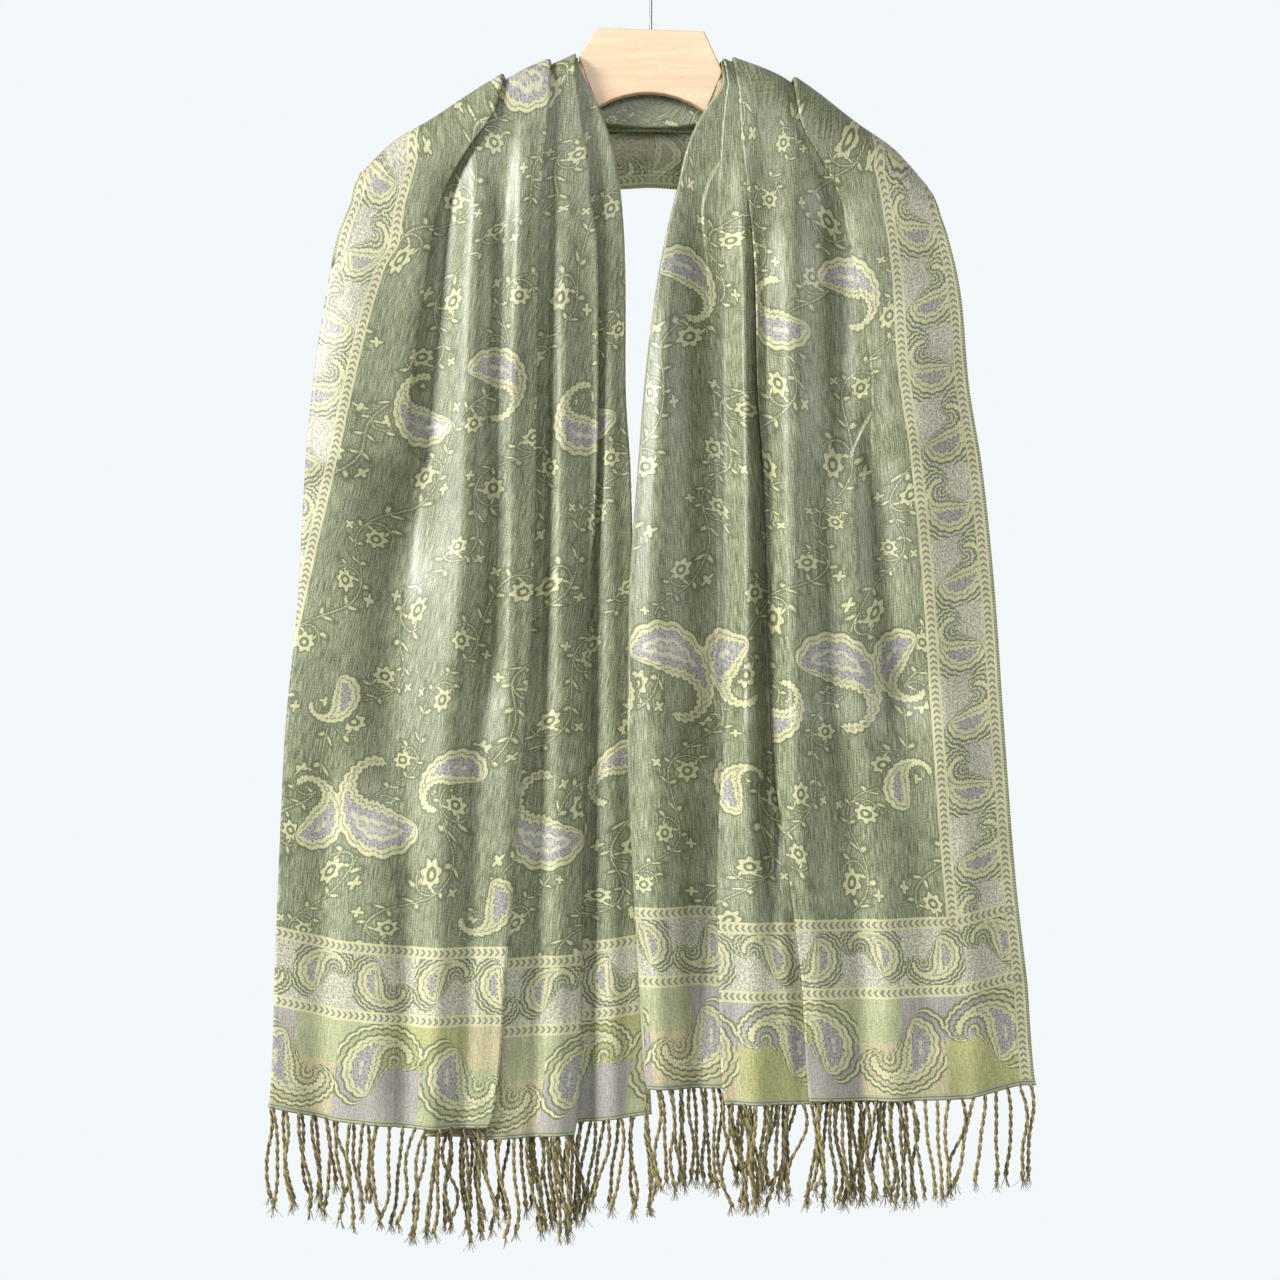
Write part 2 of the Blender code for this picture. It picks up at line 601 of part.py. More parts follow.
def make_hanger(material):
    """The neck plate with its arched foot and the two arms, joined into one piece of wood."""
    outline = [(-40, 0.0), (39.5, 2.5), (53.2, 32.2), (41, 60.7)]
    for k in range(1, 8):
        share = k / 8
        x = 41 + share * (-40.1 - 41)
        sag = math.sin(math.pi * share) ** 0.8 * ARCH_RISE
        outline.append((x, 60.7 + share * (57.7 - 60.7) - sag))
    outline += [(-40.1, 57.7), (-53.2, 21.7)]
    curve = bpy.data.curves.new("plate", "CURVE")
    curve.dimensions = "2D"
    curve.fill_mode = "BOTH"
    curve.extrude = (PLATE_THICKNESS / 2 - PLATE_BEVEL) * MM
    curve.bevel_depth = PLATE_BEVEL * MM
    curve.bevel_resolution = 1
    spline = curve.splines.new("POLY")
    spline.points.add(len(outline) - 1)
    spline.use_cyclic_u = True
    for point, (x, drop) in zip(spline.points, outline):
        point.co = (x * MM, (-PLATE_TOP - drop) * MM, 0, 1)
    guide = bpy.data.objects.new("plate_outline", curve)
    guide.rotation_euler = (math.pi / 2, 0, 0)
    CUTTERS.objects.link(guide)
    bpy.context.view_layer.update()
    graph = bpy.context.evaluated_depsgraph_get()
    plate_mesh = bpy.data.meshes.new_from_object(guide.evaluated_get(graph))
    plate = bmesh.new()
    plate.from_mesh(plate_mesh)
    plate.transform(guide.matrix_world)
    bmesh.ops.remove_doubles(plate, verts=plate.verts, dist=1e-6)
    bmesh.ops.recalc_face_normals(plate, faces=plate.faces)
    bpy.data.objects.remove(guide)
    hanger = finish_mesh("hanger", plate, material)
    for side, way in ((LEFT, -1), (RIGHT, 1)):
        arm = bmesh.new()
        rings = []
        end = abs(side.tip[0]) - ARM_END_GAP
        for k in range(ARM_STEPS):
            share = k / (ARM_STEPS - 1)
            x = way * (ARM_START + share * (end - ARM_START))
            slope = (side.tip[1] - side.neck[1]) / (side.tip[0] - side.neck[0])
            drop = side.neck[1] + slope * (x - side.neck[0])
            depth = ARM_DEPTH_NECK + share * (ARM_DEPTH_TIP - ARM_DEPTH_NECK)
            rings.append([arm.verts.new(point * MM) for point in arm_ring(x, drop, depth)])
        for inner, outer in zip(rings, rings[1:]):
            for k in range(ARM_SIDES):
                following = (k + 1) % ARM_SIDES
                arm.faces.new((inner[k], inner[following], outer[following], outer[k]))
        arm.faces.new(rings[0])
        arm.faces.new(rings[-1])
        bmesh.ops.recalc_face_normals(arm, faces=arm.faces)
        arm_mesh = bpy.data.meshes.new("arm")
        arm.to_mesh(arm_mesh)
        arm.free()
        cutter = bpy.data.objects.new("arm_left" if way < 0 else "arm_right", arm_mesh)
        cutter.hide_render = True
        cutter.display_type = "WIRE"
        CUTTERS.objects.link(cutter)
        join = hanger.modifiers.new("join_arm", "BOOLEAN")
        join.operation = "UNION"
        join.object = cutter
    return hanger


def make_hook(material):
    """The wire: a straight stem out of the plate, bent into an open round hook."""
    points = [(0.0, -PLATE_TOP + SEAM), (0.0, -PLATE_TOP + HOOK_STEM_TOP * 0.5)]
    radius = HOOK_RADIUS + WIRE_RADIUS
    centre = -HOOK_RADIUS
    points += [(0.0, centre - radius - 8), (1.6, centre - radius - 3)]
    for degrees in range(-62, 205, 15):
        turn = math.radians(degrees)
        points.append((radius * math.cos(turn), centre + radius * math.sin(turn)))
    curve = bpy.data.curves.new("hook", "CURVE")
    curve.dimensions = "3D"
    curve.bevel_depth = WIRE_RADIUS * MM
    curve.bevel_resolution = 2
    curve.use_fill_caps = True
    spline = curve.splines.new("POLY")
    spline.points.add(len(points) - 1)
    for point, (x, z) in zip(spline.points, points):
        point.co = (x * MM, 0, z * MM, 1)
    curve.materials.append(material)
    hook = bpy.data.objects.new("hook", curve)
    PARTS.objects.link(hook)
    return hook


for old in list(bpy.data.objects):
    bpy.data.objects.remove(old)
PARTS = bpy.data.collections.new("jacquard_shawl")
CUTTERS = bpy.data.collections.new("cutters")
bpy.context.scene.collection.children.link(PARTS)
bpy.context.scene.collection.children.link(CUTTERS)

cloth = make_material("jacquard", COLOURS["cloth"], 0.6)
yarn = make_material("fringe_yarn", COLOURS["fringe"], 0.7)
wood = make_material("maple", COLOURS["wood"], 0.5)
wire = make_material("wire", COLOURS["wire"], 0.3, 1.0)

loft("front_left", [front_row(LEFT, d).ring() for d in LEFT_ROWS], cloth)
loft("front_right", [front_row(RIGHT, d).ring() for d in RIGHT_ROWS], cloth)
loft("back_neck", [row.ring() for row in back_rows()], cloth)
make_fringe("fringe_left", LEFT, yarn)
make_fringe("fringe_right", RIGHT, yarn)
make_hanger(wood)
make_hook(wire)
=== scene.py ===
"""Looks of a jacquard shawl that hangs over a flat wooden hanger.

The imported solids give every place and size. The cloth is rebuilt here as a thin shell on
the same folds, with a finer mesh, small creases and a woven pattern that follows the
cloth's own threads. The fringe becomes twisted cords, and the wood and the wire keep their
solids and get their finish. Sizes are in millimetres where a name or comment says so, and
in metres in Blender.
"""

import logging
import math
from dataclasses import dataclass
from enum import Enum
from functools import partial
from itertools import accumulate
from typing import NamedTuple

import bpy
import numpy as np
from bpy.types import Material, Node, NodeSocket, NodeTree, Object
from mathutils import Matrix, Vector


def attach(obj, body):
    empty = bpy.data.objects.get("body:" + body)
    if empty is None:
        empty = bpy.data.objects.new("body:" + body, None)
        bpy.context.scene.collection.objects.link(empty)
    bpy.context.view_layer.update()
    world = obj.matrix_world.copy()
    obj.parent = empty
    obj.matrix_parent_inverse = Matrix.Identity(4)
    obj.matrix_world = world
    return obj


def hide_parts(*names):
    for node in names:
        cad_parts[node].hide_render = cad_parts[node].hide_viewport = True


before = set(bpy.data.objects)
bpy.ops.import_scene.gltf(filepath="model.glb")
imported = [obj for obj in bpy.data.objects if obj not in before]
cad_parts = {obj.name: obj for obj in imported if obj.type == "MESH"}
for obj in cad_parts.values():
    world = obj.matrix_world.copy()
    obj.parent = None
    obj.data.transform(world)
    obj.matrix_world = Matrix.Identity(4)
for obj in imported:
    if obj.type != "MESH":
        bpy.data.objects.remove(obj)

LOG = logging.getLogger("jacquard_shawl")
MM = 0.001
TURN = 2 * math.pi
PLATE_TOP = 75.0  # mm, from the hook's inner crown down to the neck plate's top
FAR = 30.0  # mm, further than any line of the pattern reaches
SPAN = (0.3, 0.7)  # the values that a noise lies between, nearly all of it


# --------------------------------------------------------------------------------------
# Small helpers
# --------------------------------------------------------------------------------------


def smooth(low: float, high: float, value: np.ndarray | float) -> np.ndarray:
    """Gives 0 below low, 1 above high and an even S between."""
    t = np.clip((np.asarray(value, float) - low) / (high - low), 0, 1)
    return t * t * (3 - 2 * t)


def linear(hex_colour: str) -> tuple[float, float, float, float]:
    """Turns an sRGB hex colour into the linear values that Blender's shaders use."""
    parts = [int(hex_colour[i : i + 2], 16) / 255 for i in (1, 3, 5)]
    return tuple(c / 12.92 if c <= 0.04045 else ((c + 0.055) / 1.055) ** 2.4 for c in parts) + (1.0,)


def plug(tree: NodeTree, socket: NodeSocket, value: Node | NodeSocket | float | tuple) -> None:
    """Fills an input with a value, a socket or a node's first output in use. None leaves it be."""
    if isinstance(value, Node):
        value = next(out for out in value.outputs if out.enabled)
    if isinstance(value, NodeSocket):
        tree.links.new(value, socket)
    elif value is not None:
        socket.default_value = value


def add_node(tree: NodeTree, kind: str, *values, **settings) -> Node:
    """Adds one node with its settings and links.

    Args:
        tree: the node tree to add to.
        kind: the node's type without its "ShaderNode" start, or a Math node's operation, in
            capitals.
        values: what goes into the sockets that it uses, in their order: nodes, sockets or
            plain values, or None for one that stays as it is.
        settings: the node's own properties.

    Returns:
        The new node.
    """
    if kind.isupper():
        kind, settings = "Math", {"operation": kind, **settings}
    node = tree.nodes.new(("ShaderNode" if not kind.startswith("Node") else "") + kind)
    for name, value in settings.items():
        setattr(node, name, value)
    for socket, value in zip([socket for socket in node.inputs if socket.enabled], values):
        plug(tree, socket, value)
    return node


def new_object(name: str, points: np.ndarray, faces: list, materials: tuple) -> Object:
    """Makes a smooth object at the origin, with its materials.

    Args:
        name: the piece's name.
        points: one row for each point, in mm.
        faces: the point numbers of each face.
        materials: its materials.

    Returns:
        The object, linked to the scene.
    """
    mesh = bpy.data.meshes.new(name)
    mesh.from_pydata((points * MM).tolist(), [], faces)
    for material in materials:
        mesh.materials.append(material)
    mesh.shade_smooth()
    obj = bpy.data.objects.new(name, mesh)
    bpy.context.scene.collection.objects.link(obj)
    return obj


def stand_for(obj: Object, node: str) -> None:
    """Lets a piece ride on the body and stand for its solid, and reports it."""
    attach(obj, "root")
    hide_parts(node)
    LOG.info("%s: %d faces", obj.name, len(obj.data.polygons))


# --------------------------------------------------------------------------------------
# How the cloth is folded: the same tables and sizes as the solids
# --------------------------------------------------------------------------------------


class Facing(Enum):
    """Which way a stretch of cloth lies from the hanger, as the sign of y."""

    FRONT = -1
    BEHIND = 1


class Lines(NamedTuple):
    """Where a front's fold lines run, at one drop below the plate's top, in mm."""

    drop: float
    outer: float
    fold1: float
    fold2: float
    fold3: float
    inner: float


class Laps(NamedTuple):
    """How far each fold's hidden part reaches, in mm. A negative lap is an open pleat."""

    drop: float
    lap1: float
    lap2: float
    lap3: float
    wrap: float
    tuck: float
    lift: float

    def blend(self, other: "Laps", share: float) -> "Laps":
        """These laps, turned into another's by a share."""
        return Laps(0, *(a * (1 - share) + b * share for a, b in zip(self[1:], other[1:])))


class Roll(NamedTuple):
    """A soft roll or crease along a line, in mm."""

    x_top: float
    drop_top: float
    x_foot: float
    drop_foot: float
    half_width: float
    height: float


class Across(NamedTuple):
    """One section of the stretch behind the neck, in mm."""

    neck_x: float
    neck_drop: float
    foot_x: float
    foot_drop: float
    share: float


def column(rows: tuple, name: str, drop: float) -> float:
    """Reads a table's column at a drop, along a soft curve that never overshoots its rows."""
    known = np.array([row.drop for row in rows], float)
    values = np.array([getattr(row, name) for row in rows], float)
    if drop <= known[0] or drop >= known[-1]:
        return float(values[0] if drop <= known[0] else values[-1])
    steps, slopes = np.diff(known), np.diff(values) / np.diff(known)
    tangents = np.zeros_like(values)
    same = slopes[:-1] * slopes[1:] > 0
    mean = 2 * slopes[:-1] * slopes[1:] / np.where(same, slopes[:-1] + slopes[1:], 1)
    tangents[1:-1] = np.where(same, mean, 0)
    tangents[0], tangents[-1] = slopes[0], slopes[-1]
    at = int(np.searchsorted(known, drop, side="right")) - 1
    t, step = (drop - known[at]) / steps[at], steps[at]
    start = (1 + 2 * t) * (1 - t) ** 2 * values[at] + t * (1 - t) ** 2 * step * tangents[at]
    end = t**2 * (3 - 2 * t) * values[at + 1] + t**2 * (t - 1) * step * tangents[at + 1]
    return float(start + end)


@dataclass(frozen=True)
class Drape:
    """How the cloth's plies lie over the shoulders, in mm, with leans and slopes as shares."""

    wall: float = 1.1
    ply: float = 2.8
    radius: float = 9.0
    neck_lean: float = -0.4
    shoulder_lean: float = 0.5
    tip_slope: float = 0.6
    flank_slope: float = 0.86
    flank_from: tuple[float, float] = (48.0, 58.0)
    lean_from: tuple[float, float] = (56.0, 92.0)
    hang_back: float = 4.0
    swing: tuple[float, float] = (45.0, 245.0)
    outer_stack: float = 0.35
    stack_thins: float = 0.2
    fold_clear: float = 14.0
    lap_limit: float = 0.74
    spread: float = 0.5
    spread_below: tuple[float, float] = (10.0, 120.0)
    crease_sinks_below: tuple[float, float] = (16.0, 48.0)
    crease_rises_below: tuple[float, float] = (0.0, 30.0)
    shoulder_swell: float = 5.0
    swell_from_tip: float = 28.0
    swell_width: float = 22.0
    swell_drop: float = 90.0
    left_neck: tuple[float, float] = (-56.4, 23.0)
    left_tip: tuple[float, float] = (-216.0, 116.0)
    right_neck: tuple[float, float] = (56.6, 33.0)
    right_tip: tuple[float, float] = (205.0, 125.0)

    @property
    def bend(self) -> float:
        """How much longer the way over the shoulder's bend is than its drop."""
        return self.radius * (math.pi / 2 - 1)

    def shoulder_drop(self, x: np.ndarray) -> np.ndarray:
        """Drop of the shoulder line at x. It is level between the two neck points."""
        ends = (self.left_tip, self.left_neck, self.right_neck, self.right_tip)
        line = np.interp(x, [end[0] for end in ends], [end[1] for end in ends])
        past = np.clip(self.left_tip[0] - x, 0, None) + np.clip(x - self.right_tip[0], 0, None)
        return line + self.tip_slope * past

    def drop_along(self, distance: float) -> float:
        """How far below the shoulder line the cloth is, a distance along it from there."""
        quarter = self.radius * math.pi / 2
        bent = self.radius * (1 - math.cos(min(distance, quarter) / self.radius))
        return bent + max(distance - quarter, 0)

    def place(self, x: np.ndarray, drop: np.ndarray, height: np.ndarray, facing: Facing) -> np.ndarray:
        """World points of a layer.

        Args:
            x: across the hanger, in mm.
            drop: below the plate's top, in mm.
            height: above the innermost layer, in mm.
            facing: in front of the hanger, or behind it.

        Returns:
            One row of x, y and z in mm for each point.
        """
        slope = 1 - (1 - self.flank_slope) * smooth(*self.flank_from, np.abs(x))
        below = np.clip((drop - self.shoulder_drop(x)) * slope, 0, None)
        rise = np.clip(1 - below / self.radius, 0, 1)
        reach = np.sqrt(1 - rise**2)
        swing = self.hang_back * smooth(*self.swing, below)
        lean = self.neck_lean + (self.shoulder_lean - self.neck_lean) * smooth(*self.lean_from, np.abs(x))
        across = x + height * rise * (np.sign(x) * lean)
        depth = self.radius * reach - swing * (facing is Facing.FRONT)
        inward = np.where(x < 0, -self.left_tip[0], self.right_tip[0]) - np.abs(x)
        swell = self.shoulder_swell * np.exp(-(((inward - self.swell_from_tip) / self.swell_width) ** 2))
        swell = swell * (1 - smooth(0, self.swell_drop, below))
        up = -PLATE_TOP - drop + height * rise * slope + swell
        return np.stack([across, facing.value * (depth + height * reach), up], axis=-1)


DRAPE = Drape()


def rolls_height(rolls: tuple, x: np.ndarray, drop: np.ndarray) -> np.ndarray:
    """Height that rolls and creases add at a place, in mm."""
    total = np.zeros_like(x)
    for roll in rolls:
        share = (drop - roll.drop_top) / (roll.drop_foot - roll.drop_top)
        middle = roll.x_top + share * (roll.x_foot - roll.x_top)
        across = np.exp(-(((x - middle) / roll.half_width) ** 2))
        total = total + roll.height * across * smooth(-0.15, 0.2, share) * (1 - smooth(1, 1.3, share))
    return total


@dataclass
class Section:
    """The nine layers of one section of the cloth, the inner layer first.

    Layers 7, 5, 3 and 1 are seen, 6, 4 and 2 lie hidden between them, 0 is tucked behind and
    8 is the outer edge, wrapped behind. The folds' places are measured from the neck fold.
    """

    length: float
    folds: list
    laps: Laps
    counts: tuple

    TURN_ANGLES = (-1.25, -0.65, 0.0, 0.65, 1.25)
    HIDDEN_POINTS = 10  # of a layer's points, those that follow its hidden lap
    PAST_FOLD = 6.0  # mm past its fold up to which a layer counts as seen
    LEAST_SEEN, MOST_SEEN = 0.3, 0.97  # shares of a layer between which its points are parted
    TUCKED_PAST = 180.0  # mm of cloth between the neck fold and the tucked layer's threads
    PLEAT_PAST = 104.0  # mm of cloth that the first fold's hidden laps take up

    def __post_init__(self) -> None:
        """Reads how far each fold is closed, from 0 for an open pleat to 1."""
        self.lap_of = (self.laps.lap3, self.laps.lap2, self.laps.lap1)
        self.closed = [float(smooth(-20, -5, lap)) for lap in self.lap_of]
        self.wrapped = float(smooth(-6, 0, self.laps.wrap))

    def spans(self) -> list:
        """Start and end of each layer along the section."""
        outer = self.length + min(self.laps.wrap, 0)
        turns = [self.laps.tuck, 0.0]
        for fold, lap in zip(self.folds[::-1], self.lap_of):
            turns += [fold + lap, fold]
        turns += [outer, self.length - self.laps.wrap if self.laps.wrap > 0 else self.length]
        return list(zip(turns, turns[1:]))

    def levels(self) -> list:
        """How many plies each layer lies above the innermost one. An open pleat adds none."""
        levels = [0.0, *accumulate([1.0, *(closed for closed in self.closed for _ in (0, 1))])]
        return levels + [levels[-1] * (1 - self.wrapped)]

    def stack_height(self, level: float, along: np.ndarray | float) -> np.ndarray:
        """Height of a layer: its plies, which lie closer together towards the outer edge."""
        thinning = np.clip((along / self.length - DRAPE.stack_thins) / (1 - DRAPE.stack_thins), 0, 1) ** 2
        return DRAPE.ply * level * (1 - (1 - DRAPE.outer_stack) * thinning)

    def puff(self, along: np.ndarray, layer: int) -> np.ndarray:
        """How much of the broad rolls a layer takes: all where it is seen, none where hidden."""
        if layer == 0:
            return np.zeros_like(along)
        if layer == 8:
            return np.full_like(along, 1 - self.wrapped)
        if layer % 2 == 0:
            return np.full_like(along, 1 - self.closed[layer // 2 - 1])
        edges = (0, *self.folds[::-1], 1e4)
        closed = (1, *self.closed, 0)
        own, following = layer // 2, layer // 2 + 1
        clear_of_own = 1 - closed[own] * (1 - smooth(0, DRAPE.fold_clear, along - edges[own]))
        clear_of_next = 1 - closed[following] * smooth(-DRAPE.fold_clear, -2, along - edges[following])
        return clear_of_own * clear_of_next

    def threads(self, along: np.ndarray, layer: int) -> np.ndarray:
        """How far across the cloth a layer's points lie, in mm from the outer selvedge.

        The hidden part of a closed pleat takes up what its two neighbours don't, so that the
        threads run straight where they are seen."""
        wrap = max(self.laps.wrap, 0)
        past = self.PLEAT_PAST if layer < 4 else 0.0
        if layer == 8:
            return wrap - (self.length - along) if wrap else self.length - along
        if layer == 0:
            return wrap + self.length + along + self.TUCKED_PAST
        if layer % 2:
            return wrap + self.length - along + past
        fold = self.folds[3 - layer // 2]
        return wrap + self.length - fold + past + np.abs(along - fold)

    def read(self, along: np.ndarray, layer: int) -> tuple:
        """Height, puff and thread place of a layer's points."""
        height = self.stack_height(self.levels()[layer], along)
        return height, self.puff(along, layer), self.threads(along, layer)

    def line(self) -> np.ndarray:
        """The cloth's middle line: rows of along, height, layer, puff and thread place."""
        half_ply = DRAPE.ply / 2
        laps = [lap for lap in self.lap_of for _ in (0, 1)] + [self.laps.wrap]
        turned = [1.0] + [float(np.clip(lap / 6 + 0.5, 0, 1)) for lap in laps]
        points: list = []
        for layer, (start, end) in enumerate(self.spans()):
            way = 1 if layer % 2 else -1
            low, high = start + half_ply, end - half_ply
            if way < 0:
                low = start - half_ply * (2 * turned[layer - 1] - 1) if layer else start
                high = end + half_ply * (2 * turned[layer] - 1) if layer < 8 else end
            share = np.linspace(0, 1, self.counts[layer])
            if layer in (1, 3, 5):
                seen = (self.folds[2 - layer // 2] + self.PAST_FOLD - low) / (high - low)
                seen = float(np.clip(seen, self.LEAST_SEEN, 1))
                if seen <= self.MOST_SEEN:
                    shown = np.linspace(0, seen, self.counts[layer] - self.HIDDEN_POINTS)
                    share = np.concatenate([shown, np.linspace(seen, 1, self.HIDDEN_POINTS + 1)[1:]])
            along = low + (high - low) * share
            height, puff, thread = self.read(along, layer)
            points += zip(along, height, layer + share, puff, thread)
            if layer == 8:
                break
            last = [points[-1][part] for part in (1, 3, 4)]
            following = [float(value[0]) for value in self.read(np.array([float(end)]), layer + 1)]
            for angle in self.TURN_ANGLES:
                rise = math.sin(angle)
                out = way * (math.cos(angle) * half_ply - half_ply) * turned[layer]
                flat = rise * DRAPE.ply / 3 * (1 - turned[layer])
                height, puff, thread = (a + (b - a) * (rise / 2 + 0.5) for a, b in zip(last, following))
                points.append((end + out + flat, height, layer + 1, puff, thread))
        return np.array(points)


def offset_line(line: np.ndarray, distance: float) -> np.ndarray:
    """A section's line moved sideways by a distance, in mm."""
    before = np.diff(line, axis=0, prepend=2 * line[:1] - line[1:2])
    after = np.diff(line, axis=0, append=2 * line[-1:] - line[-2:-1])
    before /= np.linalg.norm(before, axis=1, keepdims=True) + 1e-9
    after /= np.linalg.norm(after, axis=1, keepdims=True) + 1e-9
    step = before + after
    step /= np.linalg.norm(step, axis=1, keepdims=True) + 1e-9
    stretch = 1 / np.clip(np.einsum("ij,ij->i", step, after), 0.72, 1)
    normal = np.stack([-step[:, 1], step[:, 0]], axis=1)
    return line + normal * (distance * stretch)[:, None]


@dataclass
class ClothRow:
    """One section of the cloth, ready to be placed."""

    inner: np.ndarray
    outer: np.ndarray
    laps: Laps
    facing: Facing
    line: np.ndarray
    rolls: tuple = ()
    creases: tuple = ()
    hem: tuple | None = None
    hem_share: float = 0.0

    def __post_init__(self) -> None:
        """Works out the section's length."""
        self.length = float(np.linalg.norm(self.outer - self.inner))

    def flat_places(self, offset: float) -> tuple:
        """Gives x, drop and height of the points, before they are draped.

        Args:
            offset: how far off the cloth's middle the face lies, in mm.

        Returns:
            Three rows of mm.
        """
        moved = offset_line(self.line[:, :2], offset)
        x, drop = (self.inner + (self.outer - self.inner) * (moved[:, :1] / self.length)).T
        if self.hem is not None:
            drop = drop + (np.interp(self.line[:, 2], *self.hem) - drop) * self.hem_share
        lifted = self.laps.lift * (1 - moved[:, 0] / self.length)
        below = drop - DRAPE.shoulder_drop(x)
        loose = 1 + DRAPE.spread * smooth(*DRAPE.spread_below, below)
        height = moved[:, 1] * loose + lifted + self.line[:, 3] * rolls_height(self.rolls, x, drop)
        crease = rolls_height(self.creases, x, drop)
        sunk, raised = smooth(*DRAPE.crease_sinks_below, below), smooth(*DRAPE.crease_rises_below, below)
        return x, drop, height + crease * np.where(crease < 0, sunk, raised)

    def world(self, offset: float = 0.0) -> np.ndarray:
        """World points of the section's line in mm, moved out by offset."""
        return DRAPE.place(*self.flat_places(offset), self.facing)


# --------------------------------------------------------------------------------------
# The cloth's three stretches
# --------------------------------------------------------------------------------------


def cloth_shell(name: str, rows: list, threads: list, materials: tuple) -> Object:
    """Makes a thin closed shell of cloth, with its two faces and its cloth coordinates.

    Args:
        name: the piece's name.
        rows: the sections, in order.
        threads: for each row, the (across, along) cloth places of its points, in mm, and
            the same again for the motifs.
        materials: the face side's finish and the reverse side's.

    Returns:
        The piece.
    """
    sides = np.array([[row.world(way * DRAPE.wall / 2) for row in rows] for way in (1, -1)])
    _, count_rows, count = sides.shape[:3]
    behind = count_rows * count
    grid = np.arange(behind).reshape(count_rows, count)
    corners = np.stack([grid[:-1, :-1], grid[:-1, 1:], grid[1:, 1:], grid[1:, :-1]], -1).reshape(-1, 4)
    faces = [corners, corners[:, ::-1] + behind]
    for line in (grid[0], grid[:, -1], grid[-1][::-1], grid[:, 0][::-1]):
        faces.append(np.stack([line[1:], line[:-1], line[:-1] + behind, line[1:] + behind], -1))
    reverse = np.repeat([0, 1] + [0] * 4, [len(part) for part in faces])
    faces = np.concatenate(faces)
    obj = new_object(name, sides.reshape(-1, 3), faces.tolist(), materials)
    obj.data.polygons.foreach_set("material_index", reverse.astype(np.int32))
    places = (np.concatenate(threads) * MM).astype(np.float32)[faces.reshape(-1) % behind]
    for label, first in (("weave", 0), ("motif", 2)):
        layer = obj.data.uv_layers.new(name=label)
        layer.data.foreach_set("uv", places[:, first : first + 2].ravel())
    bpy.ops.object.select_all(action="DESELECT")
    bpy.context.view_layer.objects.active = obj
    obj.select_set(True)
    bpy.ops.object.mode_set(mode="EDIT")
    bpy.ops.mesh.select_all(action="SELECT")
    bpy.ops.mesh.normals_make_consistent(inside=False)
    bpy.ops.object.mode_set(mode="OBJECT")
    return obj


